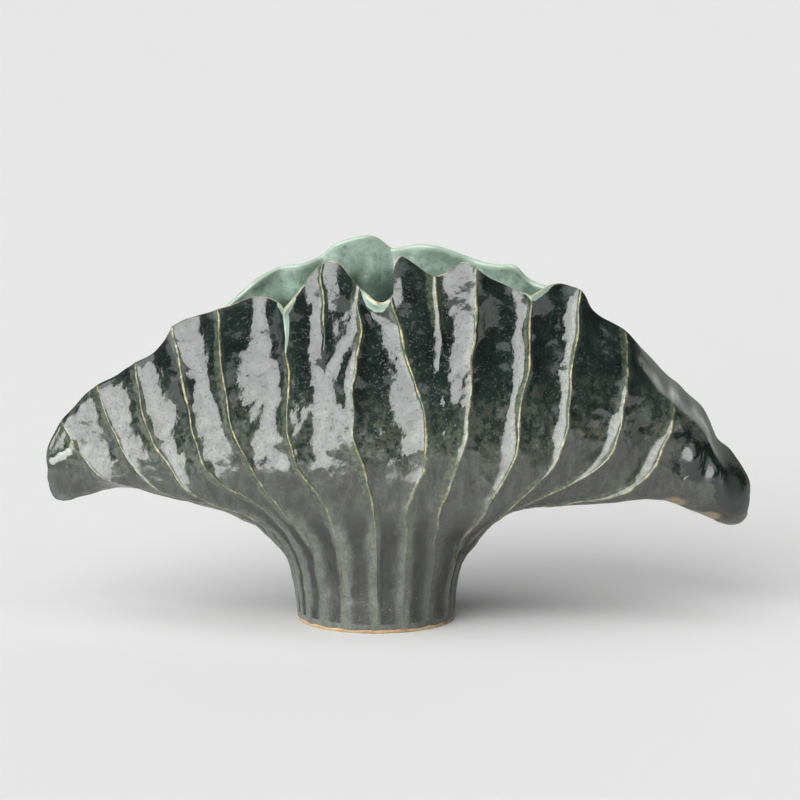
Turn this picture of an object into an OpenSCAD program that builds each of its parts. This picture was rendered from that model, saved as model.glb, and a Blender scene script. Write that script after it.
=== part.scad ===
// Hand-built stoneware vase: a fluted fan on a round foot, ruffled along its open mouth.
// The clay pieces are luted together along ridges. The origin is the centre of the foot's
// underside, +Z is up and the front faces -Y.

/* [Overall] */
// Reach of the left wing from the foot's centre
span_left = 212; // [180:1:240]
// Reach of the right wing from the foot's centre
span_right = 242; // [210:1:270]
// Height of the rim at its highest lobe
height = 246; // [220:1:270]
// Depth of the belly, front to back
depth = 140; // [120:1:160]

/* [Foot] */
// Diameter of the foot where it meets the table
foot_d = 103; // [90:1:116]
// Thickness of the floor slab
floor_t = 6; // [5:0.5:9]
// Rounding of the slab's lower edge
foot_round = 1.5; // [0.5:0.25:2]

/* [Walls] */
// Thickness of the walls
wall = 5; // [4:0.5:7]
// Thickness of the rim's lip
lip = 3.5; // [3:0.25:5]
// Width of the mouth, front to back, over the foot
mouth_w = 104; // [90:1:112]
// Deepest that a flute is pressed in
flute_max = 7; // [4:0.5:9]

/* [Hidden] */

foot_r = foot_d / 2;
clay_colour = "#b79c76";
glaze_colour = "#2b3a34";
underside_colour = "#6a716a";

// Facets of the slab's outline and of its rounded edge
$fn = 120;
edge_fn = 48;

// Path of each ridge from the foot to the rim, left keel to right keel.
// Foot angle from the front, then x, half depth and z of the elbow, the belly and the
// shoulder. x is a share of the wing's reach on its side, the half depth a share of the
// depth, and z a share of the height.
path_shares = [
    [-90, -0.460, 0.000, 0.290, -0.760, 0.000, 0.347, -0.965, 0.000, 0.312],
    [-85, -0.448, 0.138, 0.295, -0.735, 0.140, 0.357, -0.862, 0.120, 0.405],
    [-79, -0.415, 0.245, 0.302, -0.660, 0.245, 0.364, -0.785, 0.172, 0.484],
    [-71, -0.385, 0.328, 0.305, -0.570, 0.338, 0.378, -0.690, 0.220, 0.533],
    [-58, -0.345, 0.398, 0.332, -0.512, 0.388, 0.450, -0.580, 0.282, 0.650],
    [-41, -0.280, 0.442, 0.330, -0.405, 0.420, 0.500, -0.458, 0.326, 0.676],
    [-22, -0.155, 0.482, 0.345, -0.250, 0.450, 0.492, -0.266, 0.376, 0.691],
    [-11, -0.077, 0.494, 0.348, -0.160, 0.466, 0.494, -0.153, 0.396, 0.690],
    [1, -0.005, 0.500, 0.376, -0.064, 0.474, 0.539, -0.055, 0.400, 0.756],
    [19, 0.085, 0.495, 0.349, 0.137, 0.469, 0.513, 0.095, 0.398, 0.705],
    [30, 0.130, 0.490, 0.348, 0.187, 0.460, 0.511, 0.168, 0.392, 0.701],
    [40, 0.169, 0.483, 0.341, 0.231, 0.452, 0.497, 0.252, 0.376, 0.702],
    [62, 0.285, 0.455, 0.326, 0.365, 0.430, 0.485, 0.392, 0.336, 0.685],
    [71, 0.345, 0.400, 0.325, 0.485, 0.388, 0.478, 0.515, 0.284, 0.672],
    [77, 0.372, 0.320, 0.322, 0.605, 0.330, 0.454, 0.658, 0.228, 0.606],
    [81, 0.388, 0.230, 0.316, 0.675, 0.245, 0.368, 0.774, 0.180, 0.506],
    [84.5, 0.399, 0.155, 0.311, 0.705, 0.175, 0.340, 0.850, 0.145, 0.415],
    [87.5, 0.406, 0.085, 0.306, 0.725, 0.105, 0.330, 0.905, 0.095, 0.338],
    [90, 0.410, 0.000, 0.303, 0.740, 0.000, 0.324, 0.941, 0.000, 0.262]];

// The front rim in steps of half a flute: x and z as above, and how far the rim leans
// out (+) or in (-) as a share of half the mouth.
front_rim_shares = [
    [-1.005, 0.390, 0], [-0.998, 0.460, 0], [-0.958, 0.527, 0], [-0.903, 0.584, 0],
    [-0.847, 0.626, 0], [-0.794, 0.662, 0], [-0.738, 0.692, 0.02], [-0.679, 0.722, 0],
    [-0.613, 0.791, 0.05], [-0.545, 0.819, -0.02], [-0.472, 0.831, 0.06],
    [-0.350, 0.880, -0.16], [-0.276, 0.847, 0.10], [-0.210, 0.913, -0.06],
    [-0.155, 0.965, -0.13], [-0.100, 0.963, -0.10], [-0.052, 0.908, -0.14],
    [0.000, 0.869, -0.15], [0.048, 0.883, -0.10], [0.078, 0.987, -0.10],
    [0.160, 0.936, -0.14], [0.226, 0.971, -0.04], [0.270, 0.957, 0.04],
    [0.345, 0.915, -0.08], [0.410, 0.876, 0.06], [0.487, 0.907, -0.06],
    [0.541, 0.892, 0.03], [0.596, 0.832, -0.02], [0.663, 0.775, 0.03],
    [0.740, 0.690, 0], [0.798, 0.634, 0], [0.830, 0.600, 0], [0.870, 0.562, 0],
    [0.905, 0.488, 0], [0.950, 0.448, 0], [0.999, 0.368, 0], [0.986, 0.292, 0]];

// The back rim, in the same steps.
back_rim_shares = [
    [-1.005, 0.390, 0], [-0.998, 0.460, 0], [-0.958, 0.527, 0], [-0.903, 0.584, 0],
    [-0.847, 0.620, 0], [-0.794, 0.646, 0], [-0.738, 0.666, 0.02], [-0.686, 0.690, 0],
    [-0.613, 0.750, 0.04], [-0.535, 0.779, -0.04], [-0.463, 0.806, 0.06],
    [-0.389, 0.862, -0.06], [-0.300, 0.915, 0.06], [-0.235, 0.922, -0.04],
    [-0.168, 0.945, 0.05], [-0.120, 0.978, -0.05], [-0.057, 0.994, -0.08],
    [-0.010, 0.989, -0.03], [0.032, 0.961, 0.06], [0.078, 0.968, -0.02],
    [0.145, 0.974, -0.07], [0.200, 0.960, 0], [0.267, 0.934, 0.06],
    [0.335, 0.918, -0.02], [0.375, 0.900, -0.05], [0.425, 0.866, 0.05],
    [0.530, 0.850, -0.02], [0.600, 0.792, 0.02], [0.678, 0.738, 0.02],
    [0.740, 0.684, 0], [0.798, 0.632, 0], [0.830, 0.600, 0], [0.870, 0.562, 0],
    [0.905, 0.488, 0], [0.950, 0.448, 0], [0.999, 0.368, 0], [0.986, 0.292, 0]];

// Each flute between two ridges: where its trough lies between them, and its depth as a
// share of the distance between the ridges.
flute_shares = [
    [0.50, 0.05], [0.60, 0.16], [0.64, 0.17], [0.65, 0.18], [0.60, 0.17], [0.62, 0.15],
    [0.50, 0.16], [0.50, 0.16], [0.32, 0.14], [0.50, 0.12], [0.42, 0.12], [0.70, 0.16],
    [0.70, 0.17], [0.72, 0.17], [0.70, 0.18], [0.55, 0.12], [0.50, 0.08], [0.50, 0.05]];

// Ridges that run only a short way down from the rim, and where along the height of the
// wall they start to sink and are gone
short_ridges = [7, 10];
short_from_share = 0.92;
short_to_share = 0.80;

// Plan outline of the mouth: half its width as a share of it, its reach to the left and
// right as shares of the wings, and two exponents of its curve
mouth_plan_shares = [0.50, 0.840, 0.760, 1.7, 1.20];

// The waist of the stem: its radius as a share of the foot's, its height as a share of all
waist_flare_share = 1.10;
waist_height_share = 0.15;

// The knee, where the stem turns out into the wing, as shares of the way to the elbow
knee_out_share = 0.38;
knee_depth_share = 0.68;
knee_up_share = 0.64;

// The mouth is pinched shut where it would be narrower than this share of its width
closing_share = 0.15;

// Flutes are pressed in from this far up, are shallower inside than outside, and fade out
// above the last value where the mouth is pinched shut
flute_fade_share = 0.12;
inner_flute_share = 0.8;
flat_tip_share = 0.89;

// How much of a flute's depth is gone at the rim, at the front and at the back, and from
// where up it goes
front_rim_flat_share = 0.6;
back_rim_flat_share = 1;
rim_flat_from_share = 0.88;

// The lower these are, the rounder the flutes' bottom and the sharper the ridges between
// them: low on the wall, near its rim, and where up the wall one turns into the other
low_curve_share = 0.85;
high_curve_share = 0.55;
curve_from_share = 0.70;
curve_to_share = 0.90;

// Where along a flute and along a ridge the surface is sampled
flute_step_shares = [0, 0.14, 0.36, 0.60, 0.84];
foot_row_shares = [0, 0.05, 0.11, 0.18];
wall_row_shares = [0.25, 0.33, 0.41, 0.48, 0.55, 0.61, 0.67];
tip_row_shares = [0.73, 0.79, 0.84, 0.89, 0.93, 0.965, 1];

ridges = len(path_shares) - 1;
steps = len(flute_step_shares);
side_columns = ridges * steps;
ring_columns = 2 * side_columns;
row_shares = concat(foot_row_shares, wall_row_shares, tip_row_shares);
last_row = len(row_shares) - 1;
wall_start = len(foot_row_shares) - 1;
tip_start = len(foot_row_shares) + len(wall_row_shares);

// Ridges on which the panels meet
left_tip_ridge = 2;
left_seam_ridge = 5;
middle_seam_ridge = 8;
right_seam_ridge = 12;
right_tip_ridge = 15;

// A row of a table past its ends carries on in a straight line.
function entry(table, i) =
    i < 0 ? 2 * table[0] - table[1]
    : i >= len(table) ? 2 * table[len(table) - 1] - table[len(table) - 2]
    : table[i];

function curve(a, b, c, d, t) =
    (2 * b + (c - a) * t + (2 * a - 5 * b + 4 * c - d) * t * t
     + (3 * b - a - 3 * c + d) * t * t * t) / 2;

function row_at(table, w) =
    let (i = min(floor(w), len(table) - 2), t = w - i)
    t == 0 ? table[i]
    : curve(entry(table, i - 1), table[i], table[i + 1], entry(table, i + 2), t);

function reach(share) = share * (share < 0 ? span_left : span_right);

function outline(share, plan) =
    let (r = min(abs(share) / (share < 0 ? plan[1] : plan[2]), 1))
    pow(1 - pow(r, plan[3]), plan[4]);

// A point of a ridge's path: x, half depth and z from its place in the row on
function place(p, i, side) =
    [reach(p[i]), side * max(p[i + 1], 0) * depth, p[i + 2] * height];

// The points that a ridge line at u runs through; side is -1 at the front, 1 at the back.
function stations(u, side) =
    let (p = row_at(path_shares, u),
         r = row_at(side < 0 ? front_rim_shares : back_rim_shares, 2 * u),
         a = p[0],
         foot = [foot_r * sin(a), side * foot_r * cos(a), floor_t],
         waist_r = foot_r * waist_flare_share,
         waist = [waist_r * sin(a), side * waist_r * cos(a), waist_height_share * height],
         elbow = place(p, 1, side),
         knee = [waist[0] + knee_out_share * (elbow[0] - waist[0]),
                 waist[1] + knee_depth_share * (elbow[1] - waist[1]),
                 waist[2] + knee_up_share * (elbow[2] - waist[2])],
         belly = place(p, 4, side),
         shoulder = place(p, 7, side),
         half_mouth = mouth_w * mouth_plan_shares[0] * outline(r[0], mouth_plan_shares),
         lean = r[2] * mouth_w / 2 * min(1, half_mouth / (closing_share * mouth_w)),
         rim = [reach(r[0]), side * max(half_mouth + lean, 0), r[1] * height])
    [foot, waist, knee, elbow, belly, shoulder, rim];

// How far the mouth is pinched shut at a rim point, from 0 to 1
function pinch(rim) = 1 - min(1, abs(rim[1]) / (closing_share * mouth_w));

function ridge_line(u, side, rows) =
    let (s = stations(u, side),
         n = len(s) - 1,
         c = pinch(s[n]),
         below = [s[0][0], s[0][1], 2 * s[0][2] - s[1][2]],
         above = (1 - c) * (2 * s[n] - s[n - 1])
                 + c * [s[n - 1][0], -s[n - 1][1], s[n - 1][2]],
         line = concat([below], s, [above]))
    [for (v = rows)
        let (w = v * n, i = min(floor(w), n - 1))
        curve(line[i], line[i + 1], line[i + 2], line[i + 3], w - i)];

function fade(v, from, to) =
    let (t = max(0, min(1, (v - from) / (to - from))))
    t * t * (3 - 2 * t);

// How far a ridge has sunk into its flute at row v
function sunk(ridge, v) =
    len(search(ridge, short_ridges)) > 0 ? 1 - fade(v, short_to_share, short_from_share) : 0;

// Depth of a flute's round bottom at t between two ridges, from 0 on a ridge to 1 in the
// trough, at row v
function arch(k, t, v) =
    let (trough = flute_shares[k][0],
         s = t < trough ? t / trough / 2 : 0.5 + (t - trough) / (1 - trough) / 2,
         power = low_curve_share + (high_curve_share - low_curve_share)
                 * fade(v, curve_from_share, curve_to_share))
    pow(sin(180 * s), power);

// Column of the ring: index into [u, side, flute, place in the flute]
function column(i) =
    let (j = (i + ring_columns) % ring_columns,
         front = j <= side_columns,
         m = front ? j : ring_columns - j,
         k = min(floor(m / steps), ridges - 1),
         t = m == side_columns ? 1 : flute_step_shares[m - k * steps])
    [k + t, front ? -1 : 1, k, t];

function base_column(i, rows) = let (c = column(i)) ridge_line(c[0], c[1], rows);

function unit(a) = let (l = norm(a)) l > 0 ? a / l : [0, 0, 0];

function at_ring(grid, i) = grid[(i + ring_columns) % ring_columns];

// The surface through the ridges, before the flutes are pressed in, column by column
base = [for (i = [0 : ring_columns - 1]) base_column(i, row_shares)];

// Outward normal of that surface; along a pinched rim it turns up
function normal_at(i, r) =
    let (along = at_ring(base, i + 1)[r] - at_ring(base, i - 1)[r],
         up = base[i][min(r + 1, last_row)] - base[i][max(r - 1, 0)],
         n = unit(cross(along, up)))
    r == last_row ? unit(n + pinch(base[i][r]) * [0, 0, 1]) : n;

// How deep flute k is at its trough at row r
function trough_depth(k, side, r) =
    let (start = side < 0 ? k * steps : ring_columns - k * steps,
         width = norm(at_ring(base, start - side * steps)[r] - at_ring(base, start)[r]))
    min(flute_max, flute_shares[k][1] * width);

// How far the wall is pressed in; over a ridge that has sunk, the depths of the flutes on
// both sides of it run into one another
function flute_depth(i, r) =
    let (c = column(i),
         v = row_shares[r],
         side = c[1],
         k = c[2],
         t = c[3],
         own = trough_depth(k, side, r),
         before = trough_depth(max(k - 1, 0), side, r),
         after = trough_depth(min(k + 1, ridges - 1), side, r),
         a = sunk(k, v),
         b = sunk(k + 1, v),
         closed = pinch(base[i][last_row]),
         flat = side < 0 ? front_rim_flat_share : back_rim_flat_share)
    ((1 - max(a, b)) * arch(k, t, v) * own
     + a * cos(90 * t) * (own + before) / 2
     + b * sin(90 * t) * (own + after) / 2)
    * fade(v, 0, flute_fade_share)
    * (1 - flat * fade(v, rim_flat_from_share, 1))
    * (1 - closed * fade(v, flat_tip_share, 1));

// Nothing crosses the middle plane, so front and back meet where the mouth is shut
function side_of(i) = column(i)[1];
function kept_to_side(p, side) = [p[0], side < 0 ? min(p[1], 0) : max(p[1], 0), p[2]];
function on_keel(i) = i % side_columns == 0;

function outer_point(i, r) =
    let (p = base[i][r] - flute_depth(i, r) * normal_at(i, r))
    on_keel(i) || (r == last_row && base[i][r][1] == 0) ? [p[0], 0, p[2]]
    : kept_to_side(p, side_of(i));

function inner_point(i, r) =
    let (t = r == last_row ? lip : wall,
         p = base[i][r] - (inner_flute_share * flute_depth(i, r) + t) * normal_at(i, r),
         z = max(p[2], floor_t))
    on_keel(i) ? [p[0], 0, z] : kept_to_side([p[0], p[1], z], side_of(i));

// The two faces of the wall, column by column
outer = [for (i = [0 : ring_columns - 1]) [for (r = [0 : last_row]) outer_point(i, r)]];
inner = [for (i = [0 : ring_columns - 1]) [for (r = [0 : last_row]) inner_point(i, r)]];

// A closed slab between columns from and to and rows low and high; a loop runs all round
module slab(from, to, low, high, loop = false) {
    cols = loop ? to - from : to - from + 1;
    rows = high - low + 1;
    spans = loop ? cols : cols - 1;
    points = concat([for (i = [0 : cols - 1], r = [low : high]) at_ring(outer, from + i)[r]],
                    [for (i = [0 : cols - 1], r = [low : high]) at_ring(inner, from + i)[r]]);
    o = function(i, r) (i % cols) * rows + r;
    n = function(i, r) (cols + i % cols) * rows + r;
    faces = concat(
        [for (i = [0 : spans - 1], r = [0 : rows - 2])
            each quad(o(i, r), o(i, r + 1), o(i + 1, r + 1), o(i + 1, r))],
        [for (i = [0 : spans - 1], r = [0 : rows - 2])
            each quad(n(i, r), n(i + 1, r), n(i + 1, r + 1), n(i, r + 1))],
        [for (i = [0 : spans - 1])
            each quad(o(i, 0), o(i + 1, 0), n(i + 1, 0), n(i, 0))],
        [for (i = [0 : spans - 1])
            each quad(o(i, rows - 1), n(i, rows - 1), n(i + 1, rows - 1), o(i + 1, rows - 1))],
        loop ? [] : [for (r = [0 : rows - 2])
            each quad(o(0, r), n(0, r), n(0, r + 1), o(0, r + 1))],
        loop ? [] : [for (r = [0 : rows - 2])
            each quad(o(cols - 1, r), o(cols - 1, r + 1), n(cols - 1, r + 1), n(cols - 1, r))]);
    polyhedron(points, faces, convexity = 10);
}

// The solid end of a wing: the outer surface round the keel at column middle, closed by
// the same edge faces as its neighbours and a web between them.
module wing_end(middle, half, low) {
    rows = last_row - low + 1;
    cols = 2 * half + 1;
    // Web points run up the middle of the lowest row to the side, then up the side
    web = rows + half - 1;
    o = function(i, r) (r == rows - 1 && i > half ? 2 * half - i : i) * rows + r;
    first = cols * rows;
    a = function(w) first + w;
    b = function(w) w == 0 || w == web ? first + w : first + web + w;
    side_point = function(sign, w)
        w <= half ? at_ring(inner, middle + sign * w)[low]
        : at_ring(inner, middle + sign * half)[low + w - half];
    points = concat(
        [for (i = [0 : cols - 1], r = [low : last_row]) at_ring(outer, middle - half + i)[r]],
        [for (w = [0 : web]) side_point(-1, w)],
        [for (w = [1 : web - 1]) side_point(1, w)]);
    oa = function(w) w <= half ? o(half - w, 0) : o(0, w - half);
    ob = function(w) w <= half ? o(half + w, 0) : o(cols - 1, w - half);
    faces = concat(
        [for (i = [0 : cols - 2], r = [0 : rows - 2])
            each quad(o(i, r), o(i, r + 1), o(i + 1, r + 1), o(i + 1, r))],
        [for (w = [0 : web - 1]) each quad(oa(w), a(w), a(w + 1), oa(w + 1))],
        [for (w = [0 : web - 1]) each quad(ob(w), ob(w + 1), b(w + 1), b(w))],
        [for (w = [0 : web - 1]) each quad(a(w + 1), a(w), b(w), b(w + 1))]);
    polyhedron(points, [for (f = faces) if (f[0] != f[1] && f[1] != f[2] && f[2] != f[0]) f],
               convexity = 10);
}

// Two triangles, listed clockwise from outside, as polyhedron faces are
function quad(a, b, c, d) = [[a, b, c], [a, c, d]];

module floor_slab() {
    color(clay_colour)
        rotate_extrude() union() {
            square([foot_r - foot_round, floor_t]);
            translate([0, foot_round]) square([foot_r, floor_t - foot_round]);
            translate([foot_r - foot_round, foot_round]) circle(foot_round, $fn = edge_fn);
        }
}

module foot_wall() {
    color(underside_colour) slab(0, ring_columns, 0, wall_start, loop = true);
}

module left_keel() {
    color(underside_colour)
        slab(-left_tip_ridge * steps, left_tip_ridge * steps, wall_start, tip_start);
}

module right_keel() {
    color(underside_colour)
        slab(right_tip_ridge * steps, ring_columns - right_tip_ridge * steps,
             wall_start, tip_start);
}

// A wall panel between two ridges, at the front (side -1) or the back (side 1)
module panel(side, from_ridge, to_ridge) {
    from = side < 0 ? from_ridge * steps : ring_columns - to_ridge * steps;
    color(glaze_colour)
        slab(from, from + (to_ridge - from_ridge) * steps, wall_start, last_row);
}

module front_left_panel() { panel(-1, left_tip_ridge, left_seam_ridge); }

module front_centre_left_panel() { panel(-1, left_seam_ridge, middle_seam_ridge); }

module front_centre_right_panel() { panel(-1, middle_seam_ridge, right_seam_ridge); }

module front_right_panel() { panel(-1, right_seam_ridge, right_tip_ridge); }

module back_left_panel() { panel(1, left_tip_ridge, left_seam_ridge); }

module back_centre_left_panel() { panel(1, left_seam_ridge, middle_seam_ridge); }

module back_centre_right_panel() { panel(1, middle_seam_ridge, right_seam_ridge); }

module back_right_panel() { panel(1, right_seam_ridge, right_tip_ridge); }

module left_tip() {
    color(glaze_colour) wing_end(0, left_tip_ridge * steps, tip_start);
}

module right_tip() {
    color(glaze_colour)
        wing_end(side_columns, (ridges - right_tip_ridge) * steps, tip_start);
}

floor_slab();
foot_wall();
left_keel();
right_keel();
front_left_panel();
front_centre_left_panel();
front_centre_right_panel();
front_right_panel();
back_left_panel();
back_centre_left_panel();
back_centre_right_panel();
back_right_panel();
left_tip();
right_tip();
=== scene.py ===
# %% [markdown]
# A hand-built stoneware vase: a wide fluted fan on a narrow round foot. A potter rolls out
# slabs of clay, presses flutes into them, lutes the slabs together along the ridges, pinches
# both ends shut and ruffles the rim. One dark glaze covers the outside and a pale green one
# the inside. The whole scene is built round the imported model, so that comes first.

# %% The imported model
import math
from functools import partial

import bmesh
import bpy
import numpy as np
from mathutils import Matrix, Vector, noise


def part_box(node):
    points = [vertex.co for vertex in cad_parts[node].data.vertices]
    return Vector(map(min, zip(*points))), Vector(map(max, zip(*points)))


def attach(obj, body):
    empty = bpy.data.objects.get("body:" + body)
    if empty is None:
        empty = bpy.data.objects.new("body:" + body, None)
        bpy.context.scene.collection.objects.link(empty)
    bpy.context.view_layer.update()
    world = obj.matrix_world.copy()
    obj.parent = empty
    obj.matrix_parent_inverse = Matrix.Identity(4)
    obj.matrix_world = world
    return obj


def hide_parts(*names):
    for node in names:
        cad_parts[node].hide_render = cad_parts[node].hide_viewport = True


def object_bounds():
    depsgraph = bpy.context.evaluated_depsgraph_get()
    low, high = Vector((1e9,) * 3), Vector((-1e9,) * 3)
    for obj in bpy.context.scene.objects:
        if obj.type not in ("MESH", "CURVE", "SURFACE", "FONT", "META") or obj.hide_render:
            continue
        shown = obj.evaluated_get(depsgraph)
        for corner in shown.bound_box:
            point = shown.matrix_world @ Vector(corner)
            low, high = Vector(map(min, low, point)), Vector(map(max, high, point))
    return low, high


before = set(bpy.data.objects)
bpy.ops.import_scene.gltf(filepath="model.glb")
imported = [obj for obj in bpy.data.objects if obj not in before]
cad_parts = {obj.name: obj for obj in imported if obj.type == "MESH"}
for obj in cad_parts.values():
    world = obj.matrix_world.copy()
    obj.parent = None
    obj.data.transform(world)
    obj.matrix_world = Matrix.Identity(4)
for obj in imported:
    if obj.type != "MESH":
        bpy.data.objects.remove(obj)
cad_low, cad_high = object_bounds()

MM = 0.001
print("nodes:", len(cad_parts))
print("size in mm:", [round((b - a) / MM, 1) for a, b in zip(cad_low, cad_high)])

# %% [markdown]
# The sizes come from the model: its box gives both wings, the height and the depth, and the
# floor slab gives the foot. The walls are thin, so their thickness is a value of its own,
# the same as in the model.

# %% Sizes from the frame
slab_low, slab_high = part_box("floor_slab")
FOOT_R = (slab_high.x - slab_low.x) / 2
FLOOR_T = slab_high.z
# The tables below are shares of the full sizes. In the model the left end reaches a little
# past its share of 1, and the rim and the belly stay a little short of theirs
LEFT_END_SHARE, TOP_SHARE, BELLY_SHARE = 1.005, 0.994, 0.993
SPAN_LEFT = -cad_low.x / LEFT_END_SHARE
SPAN_RIGHT = cad_high.x
HEIGHT = cad_high.z / TOP_SHARE
DEPTH = (cad_high.y - cad_low.y) / BELLY_SHARE
WALL, LIP = 5 * MM, 3.5 * MM
print("foot radius, spans, height, depth in mm:",
      [round(s / MM, 1) for s in (FOOT_R, SPAN_LEFT, SPAN_RIGHT, HEIGHT, DEPTH)])

# %% [markdown]
# Nineteen ridges run from the foot to the rim. Each one passes an elbow, where the stem
# turns into the wing, then the belly and the shoulder. A potter would mark these places on
# the clay by eye, and here they are listed as shares of the vase's size, so that the same
# table serves a larger or smaller vase.

# %% Where the ridges run
# Foot angle from the front, then x, half depth and z of the elbow, the belly and the shoulder
PATH_SHARES = [
    [-90, -0.460, 0.000, 0.290, -0.760, 0.000, 0.347, -0.965, 0.000, 0.312],
    [-85, -0.448, 0.138, 0.295, -0.735, 0.140, 0.357, -0.862, 0.120, 0.405],
    [-79, -0.415, 0.245, 0.302, -0.660, 0.245, 0.364, -0.785, 0.172, 0.484],
    [-71, -0.385, 0.328, 0.305, -0.570, 0.338, 0.378, -0.690, 0.220, 0.533],
    [-58, -0.345, 0.398, 0.332, -0.512, 0.388, 0.450, -0.580, 0.282, 0.650],
    [-41, -0.280, 0.434, 0.330, -0.405, 0.432, 0.500, -0.458, 0.326, 0.676],
    [-22, -0.155, 0.474, 0.345, -0.250, 0.464, 0.492, -0.266, 0.376, 0.691],
    [-11, -0.077, 0.486, 0.348, -0.160, 0.479, 0.494, -0.153, 0.396, 0.690],
    [1, -0.005, 0.494, 0.376, -0.064, 0.487, 0.539, -0.055, 0.400, 0.756],
    [19, 0.085, 0.489, 0.349, 0.137, 0.482, 0.513, 0.095, 0.398, 0.705],
    [30, 0.130, 0.483, 0.348, 0.187, 0.474, 0.511, 0.168, 0.392, 0.701],
    [40, 0.169, 0.476, 0.341, 0.231, 0.465, 0.497, 0.252, 0.376, 0.702],
    [62, 0.285, 0.447, 0.326, 0.365, 0.442, 0.485, 0.392, 0.336, 0.685],
    [71, 0.345, 0.400, 0.325, 0.485, 0.388, 0.478, 0.515, 0.284, 0.672],
    [77, 0.372, 0.320, 0.322, 0.605, 0.330, 0.454, 0.658, 0.228, 0.606],
    [81, 0.388, 0.230, 0.316, 0.675, 0.245, 0.368, 0.774, 0.180, 0.506],
    [84.5, 0.399, 0.155, 0.311, 0.705, 0.175, 0.340, 0.850, 0.145, 0.415],
    [87.5, 0.406, 0.085, 0.306, 0.725, 0.105, 0.330, 0.905, 0.095, 0.338],
    [90, 0.410, 0.000, 0.303, 0.740, 0.000, 0.324, 0.941, 0.000, 0.262]]
RIDGES = len(PATH_SHARES) - 1
print("ridges:", RIDGES + 1)

# %% [markdown]
# The rim is the liveliest line of the vase, so it has a point for every half flute. The
# front and the back rim share their ends, where the mouth is pinched shut, and go their own
# ways between them.

# %% Where the rims run
# Each point: x, z, and how far it leans out (+) or in (-)
LEFT_END_SHARES = [
    [-1.005, 0.390, 0], [-0.998, 0.460, 0], [-0.958, 0.527, 0], [-0.903, 0.584, 0]]
RIGHT_END_SHARES = [
    [0.830, 0.600, 0], [0.870, 0.562, 0], [0.905, 0.488, 0], [0.950, 0.448, 0],
    [0.999, 0.368, 0], [0.986, 0.292, 0]]
FRONT_RIM_SHARES = LEFT_END_SHARES + [
    [-0.847, 0.624, 0], [-0.794, 0.656, 0], [-0.738, 0.690, 0.02], [-0.679, 0.722, 0],
    [-0.613, 0.791, 0.05], [-0.545, 0.827, -0.02], [-0.478, 0.842, 0.06],
    [-0.350, 0.880, -0.16], [-0.276, 0.847, 0.10], [-0.210, 0.913, -0.06],
    [-0.155, 0.965, -0.13], [-0.100, 0.963, -0.10], [-0.052, 0.908, -0.14],
    [-0.006, 0.862, -0.15], [0.038, 0.880, -0.10], [0.064, 0.988, -0.10],
    [0.160, 0.936, -0.14], [0.226, 0.971, -0.04], [0.270, 0.957, 0.04],
    [0.345, 0.915, -0.08], [0.410, 0.876, 0.06], [0.487, 0.907, -0.06],
    [0.541, 0.889, 0.03], [0.585, 0.824, -0.02], [0.663, 0.775, 0.03],
    [0.740, 0.690, 0], [0.798, 0.634, 0]] + RIGHT_END_SHARES
BACK_RIM_SHARES = LEFT_END_SHARES + [
    [-0.847, 0.620, 0], [-0.794, 0.646, 0], [-0.738, 0.666, 0.02], [-0.686, 0.690, 0],
    [-0.613, 0.750, 0.04], [-0.535, 0.779, -0.04], [-0.463, 0.812, 0.06],
    [-0.389, 0.878, -0.06], [-0.300, 0.915, 0.06], [-0.235, 0.922, -0.04],
    [-0.168, 0.945, 0.05], [-0.120, 0.978, -0.05], [-0.057, 0.994, -0.08],
    [-0.010, 0.989, -0.03], [0.032, 0.961, 0.06], [0.078, 0.968, -0.02],
    [0.145, 0.974, -0.07], [0.200, 0.960, 0], [0.267, 0.934, 0.06],
    [0.335, 0.926, -0.02], [0.372, 0.926, -0.05], [0.425, 0.880, 0.05],
    [0.530, 0.850, -0.02], [0.600, 0.792, 0.02], [0.678, 0.738, 0.02],
    [0.740, 0.684, 0], [0.798, 0.632, 0]] + RIGHT_END_SHARES
print("rim points a side:", len(FRONT_RIM_SHARES), len(BACK_RIM_SHARES))

# %% [markdown]
# The wall is sampled on a fine net. Its columns follow the ridges and crowd together there,
# because a ridge is a sharp form and a trough is a soft one. The ring of columns starts at
# the left end, runs along the front to the right end, and comes home along the back.

# %% Columns of the net
FLUTE_COLUMNS = 24
CROWDING = 0.70
SIDE_COLUMNS = RIDGES * FLUTE_COLUMNS
RING = 2 * SIDE_COLUMNS

ring_index = np.arange(RING)
at_front = ring_index <= SIDE_COLUMNS
side = np.where(at_front, -1.0, 1.0)
along_side = np.where(at_front, ring_index, RING - ring_index)
flute = np.minimum(along_side // FLUTE_COLUMNS, RIDGES - 1)
even = np.arange(FLUTE_COLUMNS) / FLUTE_COLUMNS
crowded = even - CROWDING * np.sin(2 * np.pi * even) / (2 * np.pi)
in_flute = np.where(along_side == SIDE_COLUMNS, 1.0,
                    crowded[(along_side - flute * FLUTE_COLUMNS) % FLUTE_COLUMNS])
ridge_place = flute + in_flute
print("columns round the vase:", RING)

# %% [markdown]
# The rows climb from the foot to the rim, as shares of the way up. They lie closer together
# towards the rim, where the ruffles are, and the last five round the lip over.

# %% Rows of the net
FOOT_END_SHARE, TIP_SHARE, LIP_SHARE = 0.18, 0.73, 0.99
FOOT_ROWS, WALL_ROWS, TIP_ROWS = 22, 84, 50
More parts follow.
